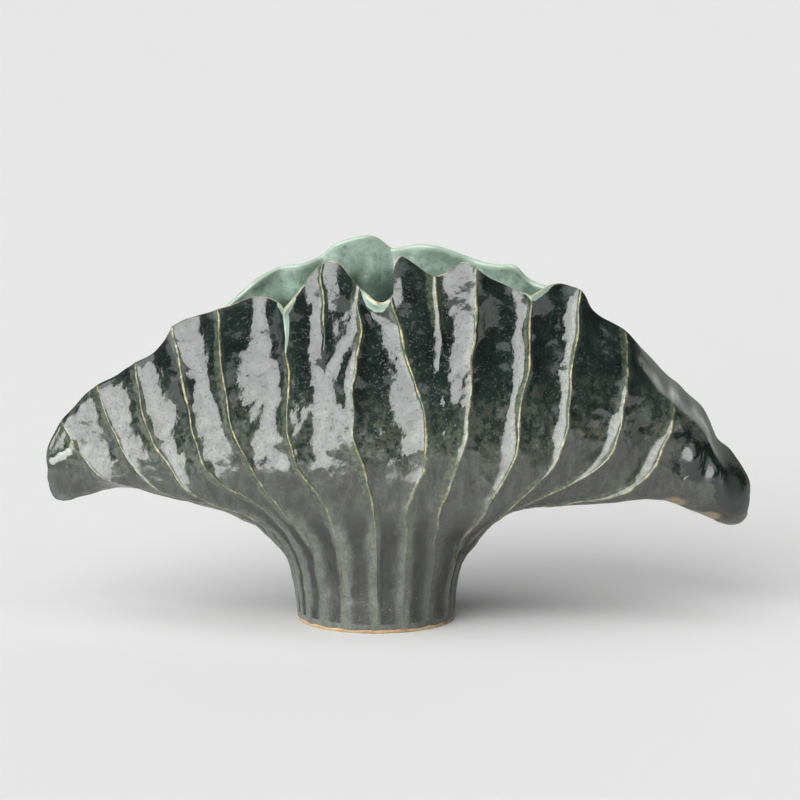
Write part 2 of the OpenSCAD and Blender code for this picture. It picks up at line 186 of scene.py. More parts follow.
# How far round the lip each of the last rows lies, in degrees
LIP_TURNS = [0, 25, 50, 72, 86]
WALL_START = FOOT_ROWS
TIP_START = WALL_START + WALL_ROWS
LIP_START = TIP_START + TIP_ROWS
lip_rows = LIP_SHARE + (1 - LIP_SHARE) * np.arange(len(LIP_TURNS)) / (len(LIP_TURNS) - 1)
row_shares = np.concatenate([
    np.linspace(0, FOOT_END_SHARE, FOOT_ROWS, endpoint=False),
    np.linspace(FOOT_END_SHARE, TIP_SHARE, WALL_ROWS, endpoint=False),
    np.linspace(TIP_SHARE, LIP_SHARE, TIP_ROWS, endpoint=False),
    lip_rows])
LAST_ROW = len(row_shares) - 1


def over_net(values):
    """Values that go by row or by column, spread over the whole net."""
    return np.broadcast_to(values, (RING, len(row_shares))).copy()


print("rows from foot to rim:", len(row_shares))

# %% [markdown]
# A ridge is a smooth curve through seven stations: foot, waist, knee, elbow, belly,
# shoulder and rim. The same curve rule also fills in between the rows of the tables, so
# the surface runs smoothly across the ridges before any flute is pressed into it.

# %% Smooth curves and soft fades
def curve(a, b, c, d, t):
    """Point at t between b and c, on a smooth curve that also heeds a and d."""
    return (2 * b + (c - a) * t + (2 * a - 5 * b + 4 * c - d) * t * t
            + (3 * b - a - 3 * c + d) * t * t * t) / 2


def row_at(table, w):
    """Rows of a table at fractional places w; past its ends it carries on straight."""
    rows = np.array(table, float)
    padded = np.vstack([2 * rows[0] - rows[1], rows, 2 * rows[-1] - rows[-2]])
    i = np.minimum(np.floor(w).astype(int), len(rows) - 2)
    t = (w - i)[:, None]
    return curve(padded[i], padded[i + 1], padded[i + 2], padded[i + 3], t)


def fade(v, start, end):
    """Goes softly from 0 at start to 1 at end."""
    t = np.clip((v - start) / (end - start), 0, 1)
    return t * t * (3 - 2 * t)


print("a fade at a quarter and at half:", fade(0.25, 0, 1), fade(0.5, 0, 1))

# %% [markdown]
# The stem flares a little from the foot to the waist, and at the knee it starts to lean out.
# The mouth is a long slot, widest in the middle. Towards both ends its sides come together
# until they are pinched shut, and there the rim is a single edge.

# %% The seven stations
WAIST_FLARE_SHARE, WAIST_HEIGHT_SHARE = 1.10, 0.15
KNEE_OUT_SHARE, KNEE_DEPTH_SHARE, KNEE_UP_SHARE = 0.41, 0.68, 0.62
MOUTH_W = 104 * MM
MOUTH_LEFT_SHARE, MOUTH_RIGHT_SHARE = 0.840, 0.760
MOUTH_BULGE, MOUTH_TAPER = 1.7, 1.20
CLOSING_SHARE = 0.15


def reach(share):
    """Distance from the middle, from a share of the left wing (-) or the right wing (+)."""
    return share * np.where(share < 0, SPAN_LEFT, SPAN_RIGHT)


def half_mouth_at(share):
    """Half width of the mouth, which falls to nothing where the mouth ends."""
    r = np.minimum(np.abs(share) / np.where(share < 0, MOUTH_LEFT_SHARE, MOUTH_RIGHT_SHARE), 1)
    return MOUTH_W / 2 * (1 - r ** MOUTH_BULGE) ** MOUTH_TAPER


def stations():
    """The seven stations of every column, and how far the mouth is pinched shut there."""
    path = row_at(PATH_SHARES, ridge_place)
    rim = np.where(at_front[:, None], row_at(FRONT_RIM_SHARES, 2 * ridge_place),
                   row_at(BACK_RIM_SHARES, 2 * ridge_place))
    angle = np.radians(path[:, 0])

    def ringed(radius, z):
        return np.stack([radius * np.sin(angle), side * radius * np.cos(angle),
                         np.full(RING, z)], 1)

    def spread(place):
        x, half, z = path[:, place], np.maximum(path[:, place + 1], 0), path[:, place + 2]
        return np.stack([reach(x), side * half * DEPTH, z * HEIGHT], 1)

    foot = ringed(FOOT_R, FLOOR_T)
    waist = ringed(FOOT_R * WAIST_FLARE_SHARE, WAIST_HEIGHT_SHARE * HEIGHT)
    elbow, belly, shoulder = spread(1), spread(4), spread(7)
    knee_share = np.array([KNEE_OUT_SHARE, KNEE_DEPTH_SHARE, KNEE_UP_SHARE])
    knee = waist + knee_share * (elbow - waist)
    half_mouth = half_mouth_at(rim[:, 0])
    lean = rim[:, 2] * MOUTH_W / 2 * np.minimum(1, half_mouth / (CLOSING_SHARE * MOUTH_W))
    top = np.stack([reach(rim[:, 0]), side * np.maximum(half_mouth + lean, 0),
                    rim[:, 1] * HEIGHT], 1)
    pinched = 1 - np.minimum(1, np.abs(top[:, 1]) / (CLOSING_SHARE * MOUTH_W))
    return [foot, waist, knee, elbow, belly, shoulder, top], pinched


way_stations, pinched = stations()
print("columns whose rim is pinched shut:", int((pinched == 1).sum()))

# %% The surface through the ridges
def ridge_lines(points):
    """Every column's curve through its stations, sampled at the rows."""
    last = len(points) - 1
    below = points[0] + (points[0] - points[1]) * [0, 0, 1]
    shut = pinched[:, None]
    above = (1 - shut) * (2 * points[-1] - points[-2]) + shut * points[-2] * [1, -1, 1]
    line = [below] + points + [above]
    made = np.empty((RING, len(row_shares), 3))
    for r, v in enumerate(row_shares):
        w = v * last
        i = min(int(w), last - 1)
        made[:, r] = curve(line[i], line[i + 1], line[i + 2], line[i + 3], w - i)
    return made


ruled = ridge_lines(way_stations)
print("surface box in mm:", np.round(ruled.min((0, 1)) / MM, 1),
      np.round(ruled.max((0, 1)) / MM, 1))

# %% [markdown]
# Nothing runs dead straight under a hand, so every point wanders a little. Slow noise moves
# the clay in two sizes of wave, and a third wave moves the ridges sideways alone, without a
# dent in the wall. The foot stays put, because it has to meet the round floor slab.

# %% Where the hand wandered
# Over what distance the clay wanders, and how far
WANDERS = [(42 * MM, 1.8 * MM), (15 * MM, 0.9 * MM)]
WANDER_ROWS = (0, 0.12)
SIDE_WANDER = (19 * MM, 2.0 * MM)
SIDE_WANDER_ROWS = (0.10, 0.35)
# Nearer to the middle plane than this, it wanders less
STEADY_DEPTH = 25 * MM
# Added to the places, it takes the sideways waves from another part of the noise
ELSEWHERE = 31.4
# Vector noise takes its seed from the clock unless it is given one, and every run must agree
WANDER_SEED = 2
noise.seed_set(WANDER_SEED)


def noise_at(points, size, offset=0):
    """Noise at every point of the net, in waves of about size."""
    values = [noise.noise(Vector(p)) for p in points.reshape(-1, 3) / size + offset]
    return np.array(values).reshape(points.shape[:2])


def wandered(points):
    """The points, each a little off its place."""
    moved = points.copy()
    depth_here = np.abs(points[..., 1])
    for size, shift in WANDERS:
        sway = np.array([noise.noise_vector(Vector(p)) for p in points.reshape(-1, 3) / size])
        sway = sway.reshape(points.shape) * fade(row_shares, *WANDER_ROWS)[:, None]
        sway[..., 1] *= np.minimum(1, depth_here / STEADY_DEPTH)
        moved += shift * sway
    size, shift = SIDE_WANDER
    moved[..., 0] += (shift * noise_at(points, size, ELSEWHERE)
                      * fade(row_shares, *SIDE_WANDER_ROWS) * fade(depth_here, 0, STEADY_DEPTH))
    return moved


base = wandered(ruled)
print("farthest wander in mm:", round(np.linalg.norm(base - ruled, axis=2).max() / MM, 2))

# %% [markdown]
# Between two ridges lies one flute. The potter pressed the clay in with a thumb, and most
# troughs lie right of the middle, so the flank just left of each ridge is the steep one.
# That is why the left flank of a ridge shows as a narrow dark strip in the glaze. Two
# ridges exist only near the rim and sink into a single wide flute below.

# %% Short ridges and how they sink
SHORT_RIDGES = [7, 10]
SHORT_ROWS = (0.80, 0.92)


def sunk(ridge):
    """How far each ridge has sunk into its flute, row by row."""
    is_short = np.isin(ridge, SHORT_RIDGES)[:, None]
    return is_short * (1 - fade(row_shares, *SHORT_ROWS))[None, :]


left_sunk, right_sunk = sunk(flute), sunk(flute + 1)
from_left = left_sunk * np.cos(np.pi / 2 * in_flute)[:, None]
from_right = right_sunk * np.sin(np.pi / 2 * in_flute)[:, None]
print("columns beside a short ridge:", int((left_sunk + right_sunk).any(1).sum()))

# %% The arch across a flute
# Place of the trough between the ridges, and depth as a share of the ridges' distance
FLUTE_SHARES = np.array([
    [0.50, 0.05], [0.60, 0.16], [0.64, 0.17], [0.65, 0.18], [0.60, 0.17], [0.62, 0.15],
    [0.66, 0.16], [0.66, 0.16], [0.32, 0.14], [0.50, 0.12], [0.42, 0.12], [0.70, 0.16],
    [0.72, 0.17], [0.74, 0.17], [0.72, 0.17], [0.55, 0.03], [0.50, 0], [0.50, 0]])
# How far the troughs sway sideways up the wall, and in how many waves
TROUGH_SWAY_SHARE, SWAYS_UP_THE_WALL = 0.13, 7
# Parts of the noise that lie so far apart that neither flutes nor sways go together
FLUTES_APART, TROUGH_SWAYS_AT, DEPTH_SWAYS_AT = 3.7, 0.3, 7.9
# The noise seldom passes 0.6, so this brings it to about 1
TO_ONE = 1.6
# The arch is raised to a power: below 1 the trough is broad, above 1 it is narrow
LOW_POWER, HIGH_POWER, INSIDE_POWER = 0.85, 0.55, 2
POWER_ROWS = (0.70, 0.90)


def swaying(offset):
    """For every flute, a slow wave up the wall between about -1 and 1."""
    lines = np.array([[noise.noise(Vector((SWAYS_UP_THE_WALL * v, FLUTES_APART * k, offset)))
                       for v in row_shares] for k in range(2 * RIDGES)])
    return TO_ONE * lines[np.where(at_front, flute, flute + RIDGES)]


trough = FLUTE_SHARES[flute, 0][:, None] + TROUGH_SWAY_SHARE * swaying(TROUGH_SWAYS_AT)
place_in = over_net(in_flute[:, None])
half_way = np.where(place_in < trough, place_in / trough / 2,
                    0.5 + (place_in - trough) / (1 - trough) / 2)
arch = np.sin(np.pi * np.clip(half_way, 0, 1))
power = LOW_POWER + (HIGH_POWER - LOW_POWER) * fade(row_shares, *POWER_ROWS)
shown_flute = 1 - np.maximum(left_sunk, right_sunk)
pressed = shown_flute * arch ** power
pressed_inside = shown_flute * arch ** INSIDE_POWER
hollow = pressed + from_left + from_right
print("troughs lie between", np.round([trough.min(), trough.max()], 2), "of a flute")

# %% [markdown]
# A flute is as deep as its own share of its width, but it dies out just above the foot and
# where the rim is pinched or straight. Under the wings, where the thumb had less room, all
# flutes are shallow.

# %% How deep the flutes are
FLUTE_MAX = 7 * MM
DEPTH_SWAY_SHARE = 0.45
INNER_FLUTE_SHARE = 0.8
FLUTES_BEGIN_ROWS = (0, 0.12)
WING_STARTS_ROWS, WING_ENDS_ROWS, UNDER_WING_EASE_SHARE = (0.25, 0.40), (0.57, 0.73), 0.65
# Two flutes of the right wing are gone near the rim
GONE_FLUTES, GONE_ROWS = [13, 14], (0.76, 0.90)
FRONT_RIM_FLAT_SHARE, BACK_RIM_FLAT_SHARE, RIM_FLAT_ROWS = 0.6, 1.0, (0.88, 1)
PINCHED_ROWS = (0.89, 1)


def flute_sizes(index):
    """Width of a flute between its ridges, and how deep it is, row by row."""
    start = np.where(at_front, index * FLUTE_COLUMNS, (RING - index * FLUTE_COLUMNS) % RING)
    end = np.where(at_front, start + FLUTE_COLUMNS, (RING - (index + 1) * FLUTE_COLUMNS) % RING)
    width = np.linalg.norm(base[end] - base[start], axis=2)
    return width, np.minimum(FLUTE_MAX, FLUTE_SHARES[index, 1][:, None] * width)


width, own_depth = flute_sizes(flute)
left_depth = flute_sizes(np.maximum(flute - 1, 0))[1]
right_depth = flute_sizes(np.minimum(flute + 1, RIDGES - 1))[1]
flat = np.where(at_front, FRONT_RIM_FLAT_SHARE, BACK_RIM_FLAT_SHARE)
under_wing = fade(row_shares, *WING_STARTS_ROWS) * (1 - fade(row_shares, *WING_ENDS_ROWS))
gone = np.isin(flute, GONE_FLUTES)[:, None] * fade(row_shares, *GONE_ROWS)
kept = (fade(row_shares, *FLUTES_BEGIN_ROWS)
        * (1 - UNDER_WING_EASE_SHARE * under_wing) * (1 - gone)
        * (1 - flat[:, None] * fade(row_shares, *RIM_FLAT_ROWS))
        * (1 - pinched[:, None] * fade(row_shares, *PINCHED_ROWS)))
over_sunk = ((own_depth + left_depth) / 2 * from_left
             + (own_depth + right_depth) / 2 * from_right)
depth_sway = 1 + DEPTH_SWAY_SHARE * swaying(DEPTH_SWAYS_AT)
depth = (own_depth * pressed * depth_sway + over_sunk) * kept
depth_inside = INNER_FLUTE_SHARE * (own_depth * pressed_inside + over_sunk) * kept
print("deepest flute in mm:", round(depth.max() / MM, 2))

# %% [markdown]
# Now the flutes are pressed in along the surface's normal, after the rim's edge has been
# curled a few millimetres out or in at some places, as wet clay does.

# %% Pressing the flutes in
# At the front: the place of a curl among the ridges, its half width there, how far out (+)
CURLS = [(8.55, 0.55, 6 * MM), (6.0, 0.40, 4 * MM), (12.1, 0.4, 3 * MM),
         (11.45, 0.45, -4 * MM), (12.8, 0.35, -3 * MM), (3.6, 0.4, -3 * MM)]
CURL_FROM_SHARE = 0.955
NO_LENGTH = 1e-12


def unit(a):
    """The same directions with length 1, where there is any length at all."""
    return a / np.maximum(np.linalg.norm(a, axis=-1, keepdims=True), NO_LENGTH)


def normals(points):
    """Outward normals of a net of points, by differences along and across it."""
    along = np.roll(points, -1, 0) - np.roll(points, 1, 0)
    up = np.empty_like(points)
    up[:, 1:-1] = points[:, 2:] - points[:, :-2]
    up[:, 0] = points[:, 1] - points[:, 0]
    up[:, -1] = points[:, -1] - points[:, -2]
    return unit(np.cross(along, up))


curling = np.clip((row_shares - CURL_FROM_SHARE) / (1 - CURL_FROM_SHARE), 0, 1) ** 2
for middle, half_width, out in CURLS:
    near = at_front * fade(np.abs(ridge_place - middle), half_width, 0)
    base[..., 1] -= out * near[:, None] * curling
base_normals = normals(base)
outer = base - depth[..., None] * base_normals
print("curls of the rim:", len(CURLS))

# %% [markdown]
# Hand work shows as small things. The first is a bead of clay along each ridge, where the
# fingers pinched it. The distance to the nearest ridge is kept in millimetres, because the
# glaze needs it too: it runs off a sharp ridge and leaves it pale.

# %% Beads along the ridges
BEAD_HEIGHT, BEAD_WIDTH = 0.4 * MM, 0.9 * MM
# The keels and the folds of the right tip are smooth, without a line of their own
PLAIN_RIDGES = [0, 16, 17, 18]
# A distance in millimetres that counts as far from any ridge
FAR_MM = 40
BEAD_BEGINS_ROWS, BEAD_GROWS_ROWS, BEAD_ENDS_ROWS = (0, 0.06), (0.25, 0.5), (0.80, 0.92)
STEM_BEAD_SHARE = 0.35

to_left, to_right = in_flute[:, None] * width, (1 - in_flute)[:, None] * width
left_shown = (1 - left_sunk) * ~np.isin(flute, PLAIN_RIDGES)[:, None]
right_shown = (1 - right_sunk) * ~np.isin(flute + 1, PLAIN_RIDGES)[:, None]
rise_mm = (to_right + FAR_MM * MM * (1 - right_shown)) / MM
ridge_mm = np.minimum((to_left + FAR_MM * MM * (1 - left_shown)) / MM, rise_mm)
bead = BEAD_HEIGHT * (left_shown * np.exp(-(to_left / BEAD_WIDTH) ** 2)
                      + right_shown * np.exp(-(to_right / BEAD_WIDTH) ** 2))
grown = STEM_BEAD_SHARE + (1 - STEM_BEAD_SHARE) * fade(row_shares, *BEAD_GROWS_ROWS)
bead *= grown * fade(row_shares, *BEAD_BEGINS_ROWS)
bead *= 1 - pinched[:, None] * fade(row_shares, *BEAD_ENDS_ROWS)
print("highest bead in mm:", round(bead.max() / MM, 2))

# %% [markdown]
# The second is shallow dents all over, the size of fingertips, which break the reflections
# up the way they are on the real glaze. Then there are the lumps and thumb prints on the
# wing ends, which are far too local for noise and so have a table of their own.

# %% Dents and lumps
DENTS = [(12 * MM, 0.7 * MM), (5.0 * MM, 0.3 * MM)]
# Lumps (+) and thumb prints (-): x and z of the middle, two radii, and the height in mm
LUMPS = [
    (0.843, 0.444, 0.027, 0.037, 5.6), (0.822, 0.505, 0.028, 0.026, 2.8),
    (0.896, 0.402, 0.024, 0.038, 5.6), (0.869, 0.430, 0.016, 0.055, -1.6),
    (0.925, 0.440, 0.020, 0.050, -1.2), (0.808, 0.440, 0.016, 0.045, -1.6),
    (0.955, 0.300, 0.050, 0.070, 4.2), (0.860, 0.335, 0.070, 0.055, 3.8),
    (-0.905, 0.420, 0.018, 0.060, -1.6)]
# A fold of clay across the left end, in the same form
FOLD = [
    (-0.990, 0.421, 0.018, 0.014, 1.5), (-0.962, 0.436, 0.018, 0.015, 1.7),
    (-0.936, 0.452, 0.018, 0.014, 1.5)]
WORKED_ROWS, SMOOTHED_ROWS, SMOOTHED_SHARE = (0, 0.08), (0.95, 1), 0.6


def spots(points, table):
    """Sum of the round spots of a table at every point of the net."""
    made = np.zeros(points.shape[:2])
    for x, z, x_radius, z_radius, height in table:
        span = SPAN_LEFT if x < 0 else SPAN_RIGHT
        off = (((points[..., 0] - x * span) / (x_radius * span)) ** 2
               + ((points[..., 2] - z * HEIGHT) / (z_radius * HEIGHT)) ** 2)
        made += height * np.exp(-off)
    return made


dents = sum(height * noise_at(base, size) for size, height in DENTS)
worked = ((dents + spots(base, LUMPS + FOLD) * MM) * fade(row_shares, *WORKED_ROWS)
          * (1 - SMOOTHED_SHARE * fade(row_shares, *SMOOTHED_ROWS)))
outer = outer + (bead + worked)[..., None] * normals(outer)
print("highest lump in mm:", round(worked.max() / MM, 2))

# %% [markdown]
# Where the mouth is shut, the clay ends in a rounded edge. Along the right wing that edge is
# a fat, lumpy roll with a crease below it, which starts and ends softly.

# %% The rounded edge and the roll
EDGE_RADIUS, ROLL_RADIUS = 2.5 * MM, 5 * MM
# How far each stands out or lies in, how far it is below the edge, and its half width
BULGE, CREASE = (3.4 * MM, 6 * MM, 5.5 * MM), (1.2 * MM, 15 * MM, 3 * MM)
ROLL_LUMP, ROLL_UNEVEN_SHARE = 8 * MM, 1.5
ROLL_STARTS_SHARES, ROLL_ENDS_SHARES = (0.68, 0.74), (0.90, 0.96)
SEAM_BAND = (15 * MM, 11 * MM)
# The edge starts this far from the keels, counted in flutes
OFF_KEEL_FLUTES = 0.8


def band(height, below, half_width):
    """A soft band along the edge, some way below it."""
    return height * np.exp(-((drop - below) / half_width) ** 2)


def held_off(y, least):
    """Depths kept at least that far from the middle plane, each on its own side."""
    return np.where(at_front[:, None], np.minimum(y, -least), np.maximum(y, least))


drop = np.clip(outer[:, -1:, 2] - outer[..., 2], 0, None)
rim_share = base[:, -1, 0] / SPAN_RIGHT
rolled = fade(rim_share, *ROLL_STARTS_SHARES) * (1 - fade(rim_share, *ROLL_ENDS_SHARES))
uneven = np.array([noise.noise(Vector((x, 0, 0))) for x in base[:, -1, 0] / ROLL_LUMP])
swell = (rolled * (1 + ROLL_UNEVEN_SHARE * uneven))[:, None]
outer[..., 1] += side[:, None] * swell * (band(*BULGE) - band(*CREASE))
to_keel = RIDGES / 2 - np.abs(ridge_place - RIDGES / 2)
edge_radius = (EDGE_RADIUS + (ROLL_RADIUS - EDGE_RADIUS) * rolled)[:, None]
edge = np.sqrt(np.clip(edge_radius ** 2 - (drop - edge_radius) ** 2, 0, None))
edge *= (pinched * fade(to_keel, 0, OFF_KEEL_FLUTES))[:, None] * (drop < edge_radius)
outer[..., 1] = held_off(outer[..., 1], edge)
on_seam = rolled[:, None] * fade(drop, *SEAM_BAND)
print("fattest roll in mm:", round(2 * edge.max() / MM, 1))

# %% [markdown]
# Beside the keels the two sides would meet in a knife edge, so the nose of each wing is kept
# round. The inner side lies one wall's thickness in, and the wall thins towards the lip.
# Neither side may cross the middle plane.

# %% The nose and the inner side
NOSE_RADIUS, NOSE_FLUTES = 2.2 * MM, 0.6
NOSE_STARTS_ROWS, NOSE_ENDS_ROWS = (0.15, 0.30), (0.965, 1)
THINNING_ROWS = (0.93, 1)
NO_GAP = 1e-9


def kept_to_side(points, last_row_shut):
    """Nothing crosses the middle plane, and the keels and shut rims lie in it."""
    made = points.copy()
    made[..., 1] = held_off(made[..., 1], 0)
    made[along_side % SIDE_COLUMNS == 0, :, 1] = 0
    if last_row_shut:
        made[np.abs(base[:, -1, 1]) < NO_GAP, -1, 1] = 0
    return made


off_end = np.clip(to_keel / NOSE_FLUTES, 0, 1)
nose = (NOSE_RADIUS * np.sqrt(1 - (1 - off_end) ** 2)[:, None]
        * fade(row_shares, *NOSE_STARTS_ROWS) * (1 - fade(row_shares, *NOSE_ENDS_ROWS)))
outer[..., 1] = held_off(outer[..., 1], nose)
thick = WALL + (LIP - WALL) * fade(row_shares, *THINNING_ROWS)
inner = base - (depth_inside + thick)[..., None] * base_normals
inner[..., 2] = np.maximum(inner[..., 2], FLOOR_T)
outer = kept_to_side(outer, True)
inner = kept_to_side(inner, False)
print("wall in mm, low down and at the lip:", round(thick[0] / MM, 1), round(thick[-1] / MM, 1))

# %% [markdown]
# The lip is rounded over with a wet finger. Its rows turn from the outside to the inside as
# a half round, except where the rim is shut and has its own edge already.

# %% Rounding the lip
# So many rows below the lip, the wall shows which way is up
ROWS_BELOW = 3


def round_lip(outer, inner):
    """The last rows turn over from the outside to the inside, as a half round."""
    out_top, in_top = outer[:, -1].copy(), inner[:, -1].copy()
    half = (out_top - in_top) / 2
    up = unit(outer[:, LIP_START] - outer[:, LIP_START - ROWS_BELOW])
    radius = np.linalg.norm(half, axis=1, keepdims=True)
    centre = (out_top + in_top) / 2 - up * radius
    shut = pinched[:, None]
    for r, turn in enumerate(np.radians(LIP_TURNS), LIP_START):
        over = centre + math.sin(turn) * up * radius
        outer[:, r] = (1 - shut) * (over + math.cos(turn) * half) + shut * outer[:, r]
        inner[:, r] = (1 - shut) * (over - math.cos(turn) * half) + shut * inner[:, r]
    return kept_to_side(outer, True), kept_to_side(inner, True)


outer, inner = round_lip(outer, inner)
outer_normals = normals(outer)
inner_normals = -normals(inner)
print("lip radius in mm:", round(LIP / 2 / MM, 2))

# %% [markdown]
# The glaze follows the form, so what the net knows about each point goes with it to the
# material, as named values on the vertices. Each pair below has the values of the outer side
# and of the inner one. Where the glaze pooled, came away or ran over the lip follows no rule,
# so those places have tables of their own.

# %% What the glaze has to know
# Where the dark glaze pooled (+) and where the clay shows through (-), in the form of LUMPS
POOLS = [
    (0.846, 0.430, 0.062, 0.052, 1.4), (0.908, 0.430, 0.028, 0.046, 1.2),
    (0.812, 0.505, 0.030, 0.020, 0.9), (0.946, 0.352, 0.034, 0.046, 3.2),
    (0.700, 0.520, 0.030, 0.050, 1.0), (0.795, 0.330, 0.035, 0.014, -1.3),
    (0.900, 0.288, 0.036, 0.016, -1.4)]
# Where the pale inner glaze ran over the lip at the front: ridge place, half width, length
SPILLS = [(8.5, 0.50, 7), (6.0, 0.35, 5), (6.0, 0.11, 28), (12.15, 0.3, 4)]
LIP_OUTSIDE_ROWS, LIP_INSIDE_ROWS = (0.980, 0.997), (0.972, 0.992)
# The fold's painted highlight is at the front only, so it fades out round the middle plane
FOLD_FRONT = (-1 * MM, 3 * MM)

below_rim_mm = (outer[:, -1:, 2] - outer[..., 2]) / MM
spill_mm = over_net(-FAR_MM)
for middle, half_width, length in SPILLS:
    off = np.abs(ridge_place - middle) / half_width
    tongue = np.where(at_front & (off < 1), length * (1 - off ** 2), -FAR_MM)
    spill_mm = np.maximum(spill_mm, tongue[:, None] - below_rim_mm)
nothing, gaping = over_net(0.0), 1 - pinched[:, None]
PAINTS = {
    "ridge_mm": (ridge_mm + FAR_MM * on_seam, ridge_mm),
    "rise_mm": (rise_mm, rise_mm),
    "hollow": (hollow, hollow),
    "height_share": (over_net(row_shares), over_net(row_shares)),
    "below_rim_mm": (below_rim_mm, below_rim_mm),
    "inside": (nothing, over_net(1.0)),
    "spill_mm": (spill_mm, spill_mm),
    "pools": (spots(base, POOLS), nothing),
    # Where the painted highlight on the left end's fold lies
    "fold": (spots(base, FOLD) * fade(-base[..., 1], *FOLD_FRONT), nothing),
    "lip": tuple(over_net(fade(row_shares, *rows)) * gaping
                 for rows in (LIP_OUTSIDE_ROWS, LIP_INSIDE_ROWS)),
    "seam": (on_seam, nothing),
}
print("named values:", *PAINTS)

# %% [markdown]
# Every clay piece of the real vase is an object of its own. A piece starts as a flat grid,
# which the solidify operator gives an inner side and closed edges. Each vertex keeps the
# number of its cell in the net, so afterwards it is simply put in its place, outside or
# inside. The borders lie on ridges, and the normals of the whole net are kept, so that no
# seam shows in the gloss.

# %% Placing a grid on the net
MERGE = 1e-6


def ring_columns(first, count):
    """So many columns of the ring, from the first one on."""
    return [(first + i) % RING for i in range(count)]


def net_values(both_sides, columns, rows):
    """Picks a piece's values out of the whole net: outside first, then inside."""
    return np.concatenate([v[np.ix_(columns, rows)].swapaxes(0, 1)
                           .reshape(len(rows) * len(columns), *v.shape[2:])
                           for v in both_sides])


def place(bm, cell, columns, rows):
    """Puts every vertex in its place; cell numbers past the first net are the inside."""
    places = net_values((outer, inner), columns, rows)
    for v in bm.verts:
        v.co = places[v[cell]]


def start_grid(columns, rows):
    """A flat grid whose vertices know their cell of the net, in place outside."""
    bm = bmesh.new()
    bmesh.ops.create_grid(bm, x_segments=len(columns) - 1, y_segments=len(rows) - 1, size=1)
    cell = bm.verts.layers.int.new("cell")
    for i, v in enumerate(bm.verts):
        v[cell] = i
    place(bm, cell, columns, rows)
    bmesh.ops.remove_doubles(bm, verts=bm.verts[:], dist=MERGE)
    return bm, cell


def move_inside(grown, cell, columns, rows):
    """New vertices have their parents' cell numbers, and go on to the inner side's."""
    for v in grown["geom"]:
        if isinstance(v, bmesh.types.BMVert):
            v[cell] += len(columns) * len(rows)


print("cells of the whole net:", RING * len(row_shares))

# %% Wall pieces and solid ends
def finish_piece(name, bm, columns, rows):
    """Turns the bmesh into an object with its paints and normals."""
    mesh = bpy.data.meshes.new(name)
    bm.to_mesh(mesh)
    bm.free()
    cells = np.empty(len(mesh.vertices), np.int32)
    mesh.attributes["cell"].data.foreach_get("value", cells)
    for paint_name, values in PAINTS.items():
        layer = mesh.attributes.new(paint_name, "FLOAT", "POINT")
        picked = net_values(values, columns, rows)[cells]
        layer.data.foreach_set("value", picked.astype(np.float32))
    mesh.shade_smooth()
    bent = net_values((outer_normals, inner_normals), columns, rows)[cells]
    mesh.normals_split_custom_set_from_vertices(bent.astype(np.float32))
    mesh.attributes.remove(mesh.attributes["cell"])
    piece = bpy.data.objects.new(name, mesh)
    bpy.context.scene.collection.objects.link(piece)
    return piece


def wall_piece(name, columns, rows):
    """A wall with an outside, an inside and closed edges between them."""
    bm, cell = start_grid(columns, rows)
    grown = bmesh.ops.solidify(bm, geom=bm.faces[:], thickness=WALL)
    move_inside(grown, cell, columns, rows)
    place(bm, cell, columns, rows)
    return finish_piece(name, bm, columns, rows)


def end_piece(name, columns, rows):
    """The solid end of a wing: its sides meet along the shut rim, and a web closes it."""
    bm, cell = start_grid(columns, rows)
    open_edges = [e for e in bm.edges if e.is_boundary]
    grown = bmesh.ops.extrude_edge_only(bm, edges=open_edges)
    move_inside(grown, cell, columns, rows)
    place(bm, cell, columns, rows)
    bmesh.ops.remove_doubles(bm, verts=bm.verts[:], dist=MERGE)
    inner_ring = [e for e in bm.edges if e.is_boundary]
    bmesh.ops.triangle_fill(bm, edges=inner_ring, use_beauty=True)
    bmesh.ops.recalc_face_normals(bm, faces=bm.faces[:])
    return finish_piece(name, bm, columns, rows)

# %% [markdown]
# The glaze is the vase's real subject. Outside it is a dark iron and copper glaze, nearly
# black where it lies thick and olive where it is thin. On each ridge it ran off and left a
# thin cream line. On the stem it is thinner, greyer and streaked from running. It is glassy,
# so most of what the eye sees is the studio mirrored in it.

# %% Colours and one helper for nodes
def paint(colour):
    """An sRGB hex colour as the linear RGBA that a socket takes."""
    parts = [int(colour[i:i + 2], 16) / 255 for i in (1, 3, 5)]
    linear = [c / 12.92 if c <= 0.04045 else ((c + 0.055) / 1.055) ** 2.4 for c in parts]
    return (*linear, 1)


def node(tree, kind, *inputs, named=(), output=None, **settings):
    """Adds a node and gives back an output. Inputs are values, hex colours or sockets."""
    made = tree.nodes.new("ShaderNode" + kind)
    for name, value in settings.items():
        setattr(made, name, value)
    pairs = list(zip([s for s in made.inputs if s.enabled], inputs))
    for socket, value in pairs + [(made.inputs[name], value) for name, value in named]:
        if isinstance(value, bpy.types.NodeSocket):
            tree.links.new(value, socket)
        else:
            socket.default_value = paint(value) if isinstance(value, str) else value
    found = [s for s in made.outputs if s.enabled and output in (None, s.name)]
    return found[0] if found else None


def new_material(name):
    """An empty material, and the function that adds nodes to it."""
    material = bpy.data.materials.new(name)
    material.use_nodes = True
    material.node_tree.nodes.clear()
    return material, partial(node, material.node_tree)


print("mid grey as the shader takes it:", round(paint("#808080")[0], 3))

# %% [markdown]
# Nearly everything on a glaze is a cloud of some size. Either the cloud's edge is drawn, as
# patches, or its amount is added to something, so that an edge there gets frayed. Sizes are
# in millimetres on the vase, as the eye sees them in the photograph.

# %% Clouds and patches
SOFT = {"interpolation_type": "SMOOTHSTEP"}
COLOUR = {"data_type": "RGBA"}
TIMES, PLUS, MINUS = [{"operation": name} for name in ("MULTIPLY", "ADD", "SUBTRACT")]


def clouds(add, where, size, by, detail=4, roughness=0.6):
    """An amount that drifts between 0 and by, in clouds about size across."""
    return add("Math", add("TexNoise", where, 1 / size, detail, roughness), by, **TIMES)


